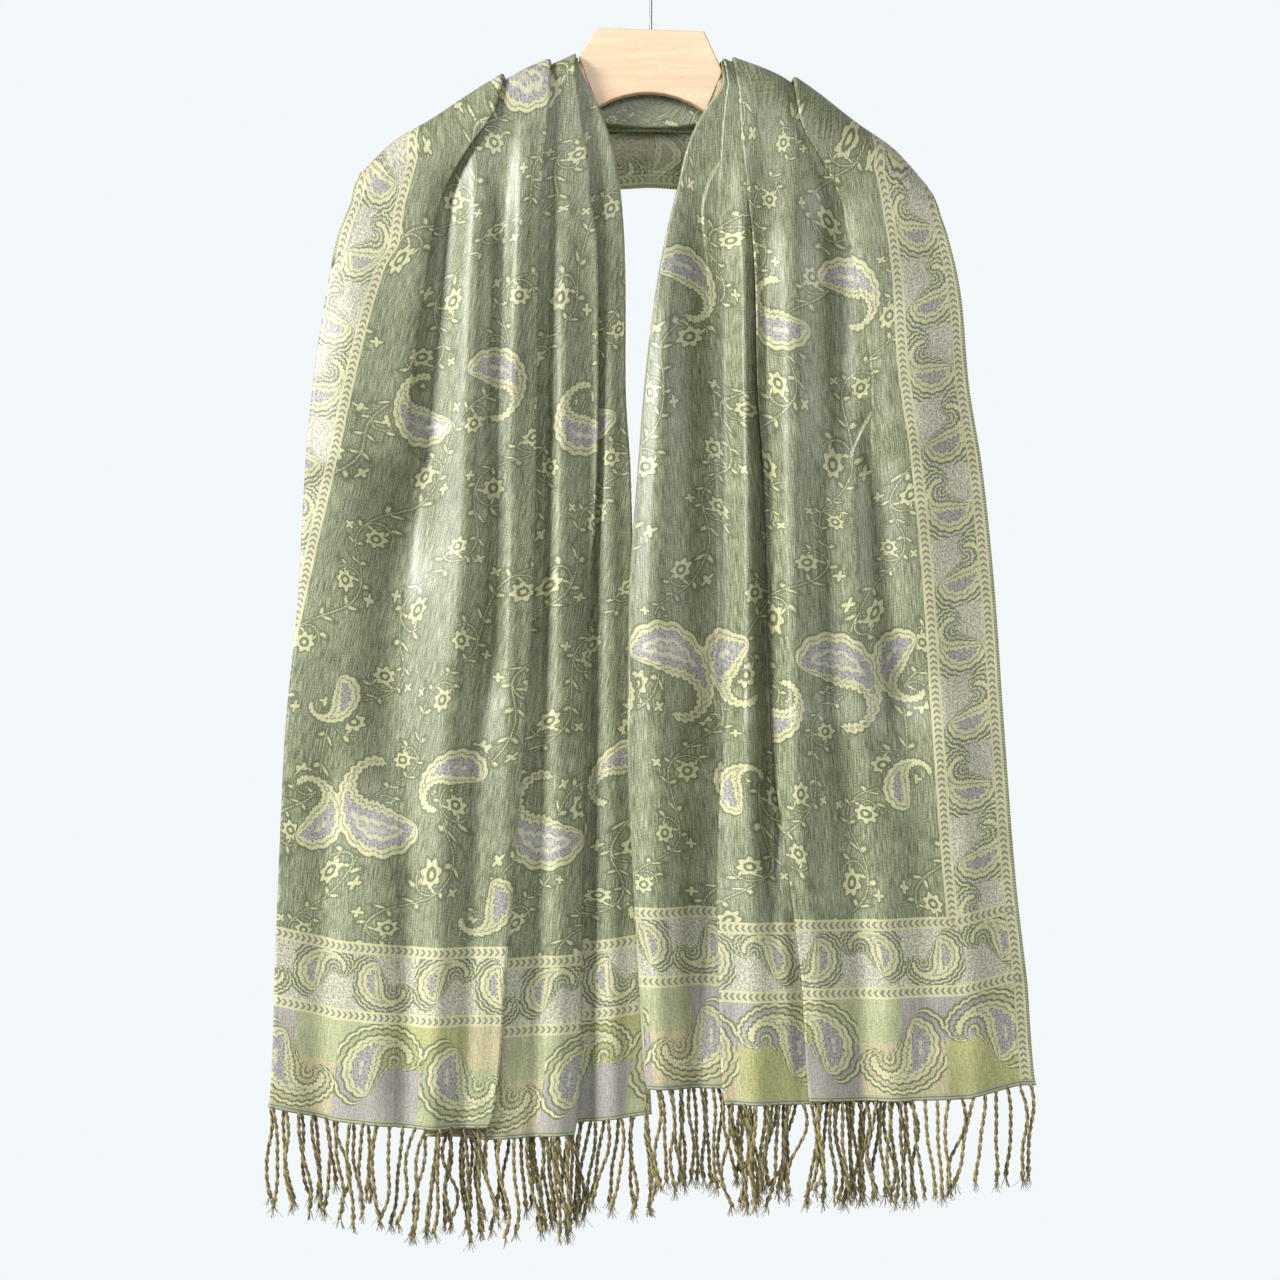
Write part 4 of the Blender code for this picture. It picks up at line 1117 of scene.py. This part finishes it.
@dataclass(frozen=True)
class Jacquard:
    """Fine viscose jacquard, machine woven: a pattern of cream weft on an olive warp.

    Viscose yarn gives a soft satin gloss. Its threads are about 0.3 mm apart, which is too
    fine to show, so the streaks are drawn as groups of threads 0.8 mm broad. Every length is
    in mm.
    """

    name: str
    botehs: tuple
    teardrop: NodeTree
    vines: NodeTree
    threads: Threads = Threads()
    jag: float = 1.1
    jag_scale: float = 1.1
    grain_scale: float = 0.62
    grain_span: tuple = (0.36, 0.64)
    cell: tuple = (230.0, 560.0)
    cell_start: tuple = (45.0, 130.0)
    vine_turn: float = 0.42
    vine_drift: float = 34.0
    drift_scale: float = 0.012
    vine_clear: float = 3.4
    vine_depth: float = -1.0
    side_border: float = 55.0
    side_middle: float = 27.0
    side_period: float = 52.0
    hem_border: float = 136.0
    band_split: float = 81.0
    small_period: float = 46.0
    box_middle: float = 41.0
    box_period: float = 65.0
    box_split: float = 44.0
    box_shift: float = 0.375
    border_turn: float = -0.3
    echo: tuple = (0.11, 0.022)
    twill_turn: float = 0.9
    twill_scale: tuple = (0.5, 1.9, 1.0)
    twill_noise: float = 0.7
    twill_warp: float = 1.25
    twill_span: tuple = (0.72, 1.6)
    box_shade: float = 0.72
    speckle: tuple = (-2.5, -6.5, 0.0, 1.6)
    core: tuple = (-7.0, -7.8, 0.0, 0.75)
    outline: tuple = (1.5, 1.0)
    stripe_in: float = 4.0
    stripe_half: float = 4.4
    stripe_jag: float = 0.4
    selvedge_stripe: float = 6.8
    link: float = 4.6
    link_open: float = 0.45
    link_half: float = 2.6
    link_slant: float = 0.16
    hem_stitch: float = 4.5
    selvedge_stitch: float = 2.4
    stitch: float = 2.2
    stitch_share: float = 0.4
    streak: tuple = (0.8, 13.0)
    streak_tone: tuple = (0.84, 1.15)
    patch_scale: float = 0.02
    patch_tone: tuple = (0.9, 1.08)
    bump: tuple = (0.4, 0.0004)
    roughness: float = 0.43
    sheen: float = 0.15
    sheen_roughness: float = 0.4

    def build(self) -> Material:
        """Makes the material."""
        material, n = new_material(self.name)
        maps = (n("UVMap", uv_map=label) for label in ("weave", "motif"))
        place, motif = (n("VectorMath", uv, 1 / MM, operation="SCALE") for uv in maps)
        jag = n("TexNoise", place, self.jag_scale, 1.0, noise_dimensions="2D")
        jag = n("MULTIPLY_ADD", jag, 2 * self.jag, -self.jag)
        across, along, _ = n("SeparateXYZ", place).outputs
        in_hem, in_boxes = n("LESS_THAN", along, self.hem_border), n("LESS_THAN", along, self.band_split)
        in_border = n("MAXIMUM", in_hem, n("LESS_THAN", across, self.side_border))
        grain = n("TexNoise", place, self.grain_scale, 2.0, noise_dimensions="2D")
        grain = n("MapRange", grain, *self.grain_span, 0.0, 1.0)
        cloth = Woven(n, place, across, along, in_hem, in_boxes, grain, jag)
        edge = n("ADD", n("Mix", in_border, self.field(n, motif), self.border(cloth)), jag)
        grounds = self.field_ground(cloth), self.border_ground(cloth)
        ground = n("Mix", in_border, *grounds, data_type="RGBA")
        colour = self.stripes(cloth, self.dress(cloth, edge, ground))
        streaks = self.streaks(cloth)
        sockets = {
            "Base Color": n("Mix", 1.0, colour, streaks, data_type="RGBA", blend_type="MULTIPLY"),
            "Normal": n("Bump", *self.bump, None, streaks),
            "Roughness": self.roughness,
            "Sheen Weight": self.sheen,
            "Sheen Roughness": self.sheen_roughness,
        }
        return finish(material, sockets)

    def field(self, n: partial, motif: Node) -> Node:
        """Distance to the field's pattern: large teardrops over curling vines."""
        start = (*self.cell_start, 0.0)
        local = n("VectorMath", motif, start, operation="SUBTRACT")
        local = n("VectorMath", local, (1 / self.cell[0], 1 / self.cell[1], 0.0), operation="MULTIPLY")
        local = n("VectorMath", local, operation="FRACTION")
        local = n("VectorMath", local, (*self.cell, 0.0), operation="MULTIPLY")
        local = n("VectorMath", local, start, operation="ADD")
        drift = n("TexNoise", motif, self.drift_scale, 0.0, noise_dimensions="2D").outputs["Color"]
        drift = n("VectorMath", drift, (0.5, 0.5, 0.5), operation="SUBTRACT")
        drift = n("VectorMath", drift, self.vine_drift, operation="SCALE")
        bent = n("VectorMath", motif, drift, operation="ADD")
        bent = n("VectorRotate", bent, None, self.vine_turn, rotation_type="Z_AXIS")
        nearest: Node | float = FAR
        for boteh in self.botehs:
            centre, turn, size = (boteh.across, boteh.along, 0.0), math.radians(boteh.turn), boteh.size
            scale = ((-1 if boteh.mirrored else 1) / size, 1 / size, 0.0)
            nearest = n("Group", local, centre, scale, turn, size, nearest, node_tree=self.teardrop)
        thin = n("MAXIMUM", n("Group", bent, node_tree=self.vines), self.vine_depth)
        thin = n("MAXIMUM", thin, n("SUBTRACT", self.vine_clear, nearest))
        return n("MINIMUM", nearest, thin)

    def border(self, cloth: Woven) -> Node:
        """Distance to the borders' pattern: a row of teardrops, each inside an arch."""
        n, _, across, along, in_hem, in_boxes, *_ = cloth
        run = n("Mix", in_hem, along, across)
        middle = n("Mix", in_boxes, -(self.hem_border + self.band_split) / 2, -self.box_middle)
        off = n("Mix", in_hem, n("ADD", across, -self.side_middle), n("ADD", along, middle))
        period = n("Mix", in_boxes, self.small_period, self.box_period)
        period = n("Mix", in_hem, self.side_period, period)
        count = n("DIVIDE", run, period)
        number = n("FLOOR", count)
        local = n("SUBTRACT", n("SUBTRACT", count, number), 0.5)
        off = n("MULTIPLY", n("DIVIDE", off, period), either_way(n, number))
        spot = n("CombineXYZ", local, off)
        turn = self.border_turn
        drop = n("Group", spot, (0, 0, 0), (1, 1, 0), turn, 1.0, 9.0, node_tree=self.teardrop)
        out, half = self.echo
        echo = n("ADD", n("ABSOLUTE", n("ADD", drop, -out)), -half)
        return n("MULTIPLY", n("MINIMUM", drop, echo), period)

    def warp(self, cloth: Woven, detail: float) -> Node:
        """Noise in streaks that run up the cloth with its warp."""
        broad, long = self.streak
        drawn = cloth.n("VectorMath", cloth.place, (1 / broad, 1 / long, 0.0), operation="MULTIPLY")
        return cloth.n("TexNoise", drawn, 1.0, detail, noise_dimensions="2D")

    def field_ground(self, cloth: Woven) -> Node:
        """Colour of the field between its shapes: a twill that the warp runs through."""
        n = cloth.n
        twill = n("Mapping", cloth.place, None, (0, 0, self.twill_turn), self.twill_scale)
        twill = n("TexNoise", twill, self.twill_noise, 1.0, noise_dimensions="2D")
        twill = n("MULTIPLY_ADD", self.warp(cloth, 1.0), self.twill_warp, twill)
        twill = n("MapRange", twill, *self.twill_span, 0.0, 1.0)
        dark, light = linear(self.threads.ground_dark), linear(self.threads.ground_light)
        return n("Mix", twill, dark, light, data_type="RGBA")

    def border_ground(self, cloth: Woven) -> Node:
        """Colour of the borders between their shapes."""
        n, grain, colours = cloth.n, cloth.grain, self.threads.boxes
        box = n("MULTIPLY", cloth.across, 1 / (self.box_period * len(colours)))
        upper = n("GREATER_THAN", cloth.along, self.box_split)
        boxes = n("ValToRGB", n("FRACT", n("MULTIPLY_ADD", upper, self.box_shift, box)))
        ramp = boxes.color_ramp
        ramp.interpolation = "CONSTANT"
        for number, colour in enumerate(colours):
            stop = ramp.elements.new(number / len(colours)) if number else ramp.elements[0]
            stop.color = linear(colour)
        ramp.elements.remove(ramp.elements[-1])
        shaded = n("MapRange", grain, 0.0, 1.0, self.box_shade, 1.0)
        boxes = n("Mix", 1.0, boxes, shaded, data_type="RGBA", blend_type="MULTIPLY")
        dark, light = linear(self.threads.border_dark), linear(self.threads.border_light)
        plain = n("Mix", grain, dark, light, data_type="RGBA")
        return n("Mix", cloth.in_boxes, plain, boxes, data_type="RGBA")

    def dress(self, cloth: Woven, edge: Node, ground: Node) -> Node:
        """Colour of the shapes over the ground: outline, cream ring, line and speckled core."""
        n, grain = cloth.n, cloth.grain
        line, cream, dotted = self.threads.line, self.threads.cream, self.threads.core_dark
        rings = (  # how far inside the edge each ring starts and ends
            *((-2.0, 0.2, line), (0.6, 2.9, cream), (3.3, 3.8, dotted), (4.1, 6.2, cream), (6.6, 7.2, line)),
            *((7.6, 11.6, dotted), (12.0, 12.5, line), (12.9, 15.6, cream), (16.0, 16.0, line)),
            *((16.6, 16.6, dotted), (22.0, 22.0, cream)),
        )
        stops = [(at, colour) for start, end, colour in rings for at in sorted({start, end})]
        outermost, depth = stops[0][0], stops[-1][0] - stops[0][0]
        speckle = n("MULTIPLY", n("MapRange", edge, *self.speckle), grain)
        inside = n("MapRange", n("ADD", edge, speckle), -outermost, -outermost - depth, 0.0, 1.0)
        shape = n("ValToRGB", inside)
        ramp = shape.color_ramp
        for at, _ in stops[1:-1]:
            ramp.elements.new((at - outermost) / depth)
        for stop, (at, colour) in zip(ramp.elements, stops):
            stop.position, stop.color = (at - outermost) / depth, linear(colour)
        core = n("MULTIPLY", n("MapRange", edge, *self.core), grain)
        shape = n("Mix", core, shape, linear(self.threads.core_light), data_type="RGBA")
        shown = n("MapRange", edge, *self.outline, 0.0, 1.0)
        return n("Mix", shown, ground, shape, data_type="RGBA")

    def stripes(self, cloth: Woven, colour: Node) -> Node:
        """Lays chain stripes over the colour, above the hem and along the sides, and the
        overlocked edge."""
        n, _, across, along, *_, jag = cloth
        split, top, inner, edge = (
            n("ABSOLUTE", n("ADD", place, -at))
            for place, at in (
                *((along, self.band_split), (along, self.hem_border - self.stripe_in)),
                *((across, self.side_border - self.stripe_in), (across, self.selvedge_stripe)),
            )
        )
        below = n("LESS_THAN", along, self.hem_border - 2 * self.stripe_in)
        level = n("MINIMUM", split, top)
        upright = n("MINIMUM", n("MULTIPLY_ADD", below, FAR, inner), edge)
        middle = n("MINIMUM", level, upright)
        run = n("Mix", n("LESS_THAN", upright, level), across, along)
        slant = n("MULTIPLY", middle, self.link_slant)
        links = n("FRACT", n("MULTIPLY_ADD", run, 1 / self.link, slant))
        dark = n("MULTIPLY", n("LESS_THAN", links, self.link_open), n("LESS_THAN", middle, self.link_half))
        chain = n("Mix", dark, linear(self.threads.cream), linear(self.threads.core_dark), data_type="RGBA")
        within = n("LESS_THAN", n("MULTIPLY_ADD", jag, self.stripe_jag, middle), self.stripe_half)
        striped = n("Mix", within, colour, chain, data_type="RGBA")
        stitched = (n("LESS_THAN", along, self.hem_stitch), n("LESS_THAN", across, self.selvedge_stitch))
        stitches = n("LESS_THAN", n("FRACT", n("MULTIPLY", along, 1 / self.stitch)), self.stitch_share)
        light, line = linear(self.threads.ground_light), linear(self.threads.line)
        overlock = n("Mix", stitches, light, line, data_type="RGBA")
        return n("Mix", n("MAXIMUM", *stitched), striped, overlock, data_type="RGBA")

    def streaks(self, cloth: Woven) -> Node:
        """Brightness of the threads: long streaks up the cloth, and broad uneven patches."""
        n = cloth.n
        fine = n("MapRange", self.warp(cloth, 2.0), *SPAN, *self.streak_tone, clamp=False)
        patch = n("TexNoise", cloth.place, self.patch_scale, 1.0, noise_dimensions="2D")
        return n("MULTIPLY", fine, n("MapRange", patch, *SPAN, *self.patch_tone))


@dataclass(frozen=True)
class TwistedYarn:
    """Two-ply yarn, twisted by hand at the loom's edge from dark green and gold ends.

    The plies' own value turns the colour, and a fine noise gives single filaments.
    """

    name: str = "twisted viscose yarn"
    dark: str = "#2F311B"
    gold: str = "#9A874D"
    fibre_scale: float = 900.0
    fibre_tone: float = 0.25
    bump: tuple = (0.5, 0.0005)
    roughness: float = 0.6
    sheen: float = 0.2

    def build(self) -> Material:
        """Makes the material."""
        material, n = new_material(self.name)
        shade = n("Attribute", attribute_name="shade").outputs["Fac"]
        fibres = n("TexNoise", n("TexCoord").outputs["Object"], self.fibre_scale, 2.0)
        fine = n("MULTIPLY_ADD", fibres, 2 * self.fibre_tone, -self.fibre_tone)
        mixed = n("ADD", shade, fine, use_clamp=True)
        sockets = {
            "Base Color": n("Mix", mixed, linear(self.dark), linear(self.gold), data_type="RGBA"),
            "Normal": n("Bump", *self.bump, None, fibres),
            "Roughness": self.roughness,
            "Sheen Weight": self.sheen,
        }
        return finish(material, sockets)


@dataclass(frozen=True)
class PaleWood:
    """Beech board, sawn, sanded and sealed with a satin lacquer.

    Beech has short dark flecks 1 to 3 mm long and a faint grain, both along the board. The
    scales are for each metre, along x, y and z.
    """

    name: str = "lacquered beech"
    light: str = "#D9BC98"
    dark: str = "#C8A67F"
    fleck: str = "#B08A62"
    grain_scale: tuple = (14.0, 90.0, 160.0)
    grain_roughness: float = 0.6
    fleck_scale: tuple = (330.0, 900.0, 1500.0)
    fleck_shows: tuple = (0.6, 0.72, 0.0, 0.55)
    bump: tuple = (0.15, 0.0003)
    roughness: float = 0.38
    coat: float = 0.25
    coat_roughness: float = 0.25

    def build(self) -> Material:
        """Makes the material."""
        material, n = new_material(self.name)
        place = n("TexCoord").outputs["Object"]
        scales = self.grain_scale, self.fleck_scale
        grain, flecks = (n("Mapping", place, None, None, scale) for scale in scales)
        grain = n("TexNoise", grain, 1.0, 4.0, None, None, self.grain_roughness)
        flecks = n("MapRange", n("TexNoise", flecks, 1.0, 1.0), *self.fleck_shows)
        share = n("MapRange", grain, *SPAN)
        board = n("Mix", share, linear(self.light), linear(self.dark), data_type="RGBA")
        sockets = {
            "Base Color": n("Mix", flecks, board, linear(self.fleck), data_type="RGBA"),
            "Normal": n("Bump", *self.bump, None, grain),
            "Roughness": self.roughness,
            "Coat Weight": self.coat,
            "Coat Roughness": self.coat_roughness,
        }
        return finish(material, sockets)


@dataclass(frozen=True)
class DrawnWire:
    """Steel wire, cold drawn and nickel plated: fine scratches run along it."""

    name: str = "nickel-plated steel wire"
    colour: str = "#85827D"
    scratch: tuple = (0.1, 0.1, 0.1, 1.0)
    scratch_scale: tuple = (2500.0, 2500.0, 120.0)
    scratch_tone: tuple = (0.85, 1.0)
    roughness: tuple = (0.28, 0.48)

    def build(self) -> Material:
        """Makes the material."""
        material, n = new_material(self.name)
        place = n("Mapping", n("TexCoord").outputs["Object"], None, None, self.scratch_scale)
        scratches = n("TexNoise", place, 1.0, 2.0)
        tone = n("MapRange", scratches, *SPAN, *self.scratch_tone)
        sockets = {
            "Base Color": n("Mix", tone, self.scratch, linear(self.colour), data_type="RGBA"),
            "Roughness": n("MapRange", scratches, *SPAN, *self.roughness),
            "Metallic": 1.0,
        }
        return finish(material, sockets)


TOP_BOTEHS = table(
    Boteh, (146, 240, 92, -100), (88, 226, 66, 60, True), (92, 318, 50, 150), (196, 258, 64, -60, True)
)
FIELD_LEFT = TOP_BOTEHS + table(
    Boteh, (118, 540, 68, -100), (162, 556, 68, 80), (224, 548, 60, -80, True), (230, 168, 56, 150)
)
FIELD_RIGHT = TOP_BOTEHS + table(
    Boteh, (242, 272, 60, 100), (112, -52, 68, -100), (158, -38, 68, 80), (222, -46, 64, -80, True)
)
REVERSE = Threads(
    ground_dark="#6A6A3C",
    ground_light="#A3A06A",
    line="#5C5F3C",
    cream="#A9AE86",
    core_dark="#7F7D5C",
    core_light="#9A9672",
    border_dark="#77764E",
    border_light="#A5A076",
    boxes=("#8C8C54", "#9C9468", "#8A8872", "#84864C"),
)


# --------------------------------------------------------------------------------------
# Camera, light and floor
# --------------------------------------------------------------------------------------


@dataclass(frozen=True)
class Studio:
    """A soft pale room: a floor, an even world, and broad lights, the main one from the left.

    Places and sizes are in metres, powers in watts, and the lens and its sensor in mm.
    """

    camera_place: tuple = (-0.00825, -2.518, -0.5355)
    lens: float = 93.75
    sensor: float = 36.0
    floor_height: float = -1.3
    floor_radius: float = 1.4
    floor_colour: str = "#C9D0D2"
    floor_roughness: float = 0.9
    wall_colour: str = "#F5FAFC"
    wall_strength: float = 0.98
    fill: float = 0.27
    aim: tuple = (0, 0, -0.5)
    lights: tuple = (
        ("left soft box", (-3.9, -1.9, 1.0), 1.3, 380.0),
        ("right soft box", (4.4, -1.1, 0.6), 1.0, 70.0),
        ("front soft box", (0.3, -3.1, 0.7), 1.0, 38.0),
        ("back soft box", (2.0, 2.8, -0.3), 1.4, 120.0),
    )

    def build(self) -> None:
        """Makes the floor, the world, the lights and the camera."""
        scene = bpy.context.scene
        scene.view_settings.view_transform = "Standard"
        bpy.ops.mesh.primitive_circle_add(
            vertices=96, radius=self.floor_radius, fill_type="NGON", location=(0, 0, self.floor_height)
        )
        floor = bpy.context.object
        floor.name = "floor"
        material, _ = new_material("pale matt floor")
        paint = {"Base Color": linear(self.floor_colour), "Roughness": self.floor_roughness}
        floor.data.materials.append(finish(material, paint))
        scene.world = bpy.data.worlds.new("pale room")
        scene.world.use_nodes = True
        tree = scene.world.node_tree
        background = tree.nodes["Background"]
        seen = add_node(tree, "LightPath").outputs["Is Camera Ray"]
        plug(tree, background.inputs["Color"], linear(self.wall_colour))
        plug(tree, background.inputs["Strength"], add_node(tree, "Mix", seen, self.fill, self.wall_strength))
        for name, place, size, power in self.lights:
            data = bpy.data.lights.new(name, "AREA")
            data.energy, data.size = power, size
            turn = (Vector(self.aim) - Vector(place)).to_track_quat("-Z", "Y").to_euler()
            self.stand(name, data, place, turn).visible_camera = False
        data = bpy.data.cameras.new("camera")
        data.lens, data.sensor_width = self.lens, self.sensor
        scene.camera = self.stand("camera", data, self.camera_place, (math.pi / 2, 0, 0))

    def stand(self, name: str, data: bpy.types.ID, place: tuple, turn: tuple) -> Object:
        """Puts a light or the camera at its place, turned, and gives it back."""
        obj = bpy.data.objects.new(name, data)
        obj.location, obj.rotation_euler = place, turn
        bpy.context.scene.collection.objects.link(obj)
        return obj


# --------------------------------------------------------------------------------------
# The whole object
# --------------------------------------------------------------------------------------


def finish_solid(node: str, material: Material) -> None:
    """Gives a solid that stays in the picture its finish."""
    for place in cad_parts[node].material_slots:
        place.material = material
    LOG.info("%s: keeps its solid", node)


def main() -> None:
    """Builds the object piece by piece, then the room."""
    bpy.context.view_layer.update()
    shapes = Teardrop().build(), Vines().build()
    face = Jacquard("viscose jacquard face, left end", FIELD_LEFT, *shapes).build()
    face_right = Jacquard(
        "viscose jacquard face, right end", FIELD_RIGHT, *shapes, cell_start=(45.0, -170.0)
    ).build()
    reverse = Jacquard("viscose jacquard reverse", FIELD_LEFT, *shapes, REVERSE).build()
    yarn = TwistedYarn().build()
    left_cords = Fringe(LEFT_FRONT, "fringe_cords_left", "fringe_left", seed=4).build(yarn)
    right_cords = Fringe(RIGHT_FRONT, "fringe_cords_right", "fringe_right", seed=9).build(yarn)
    LEFT_FRONT.build((face, reverse), left_cords)
    RIGHT_FRONT.build((face_right, reverse), right_cords)
    NECK.build((face, reverse))
    finish_solid("hanger", PaleWood().build())
    finish_solid("hook", DrawnWire().build())
    Studio().build()


if __name__ == "__main__":
    logging.basicConfig(level=logging.INFO, format="%(name)s: %(message)s")
    main()
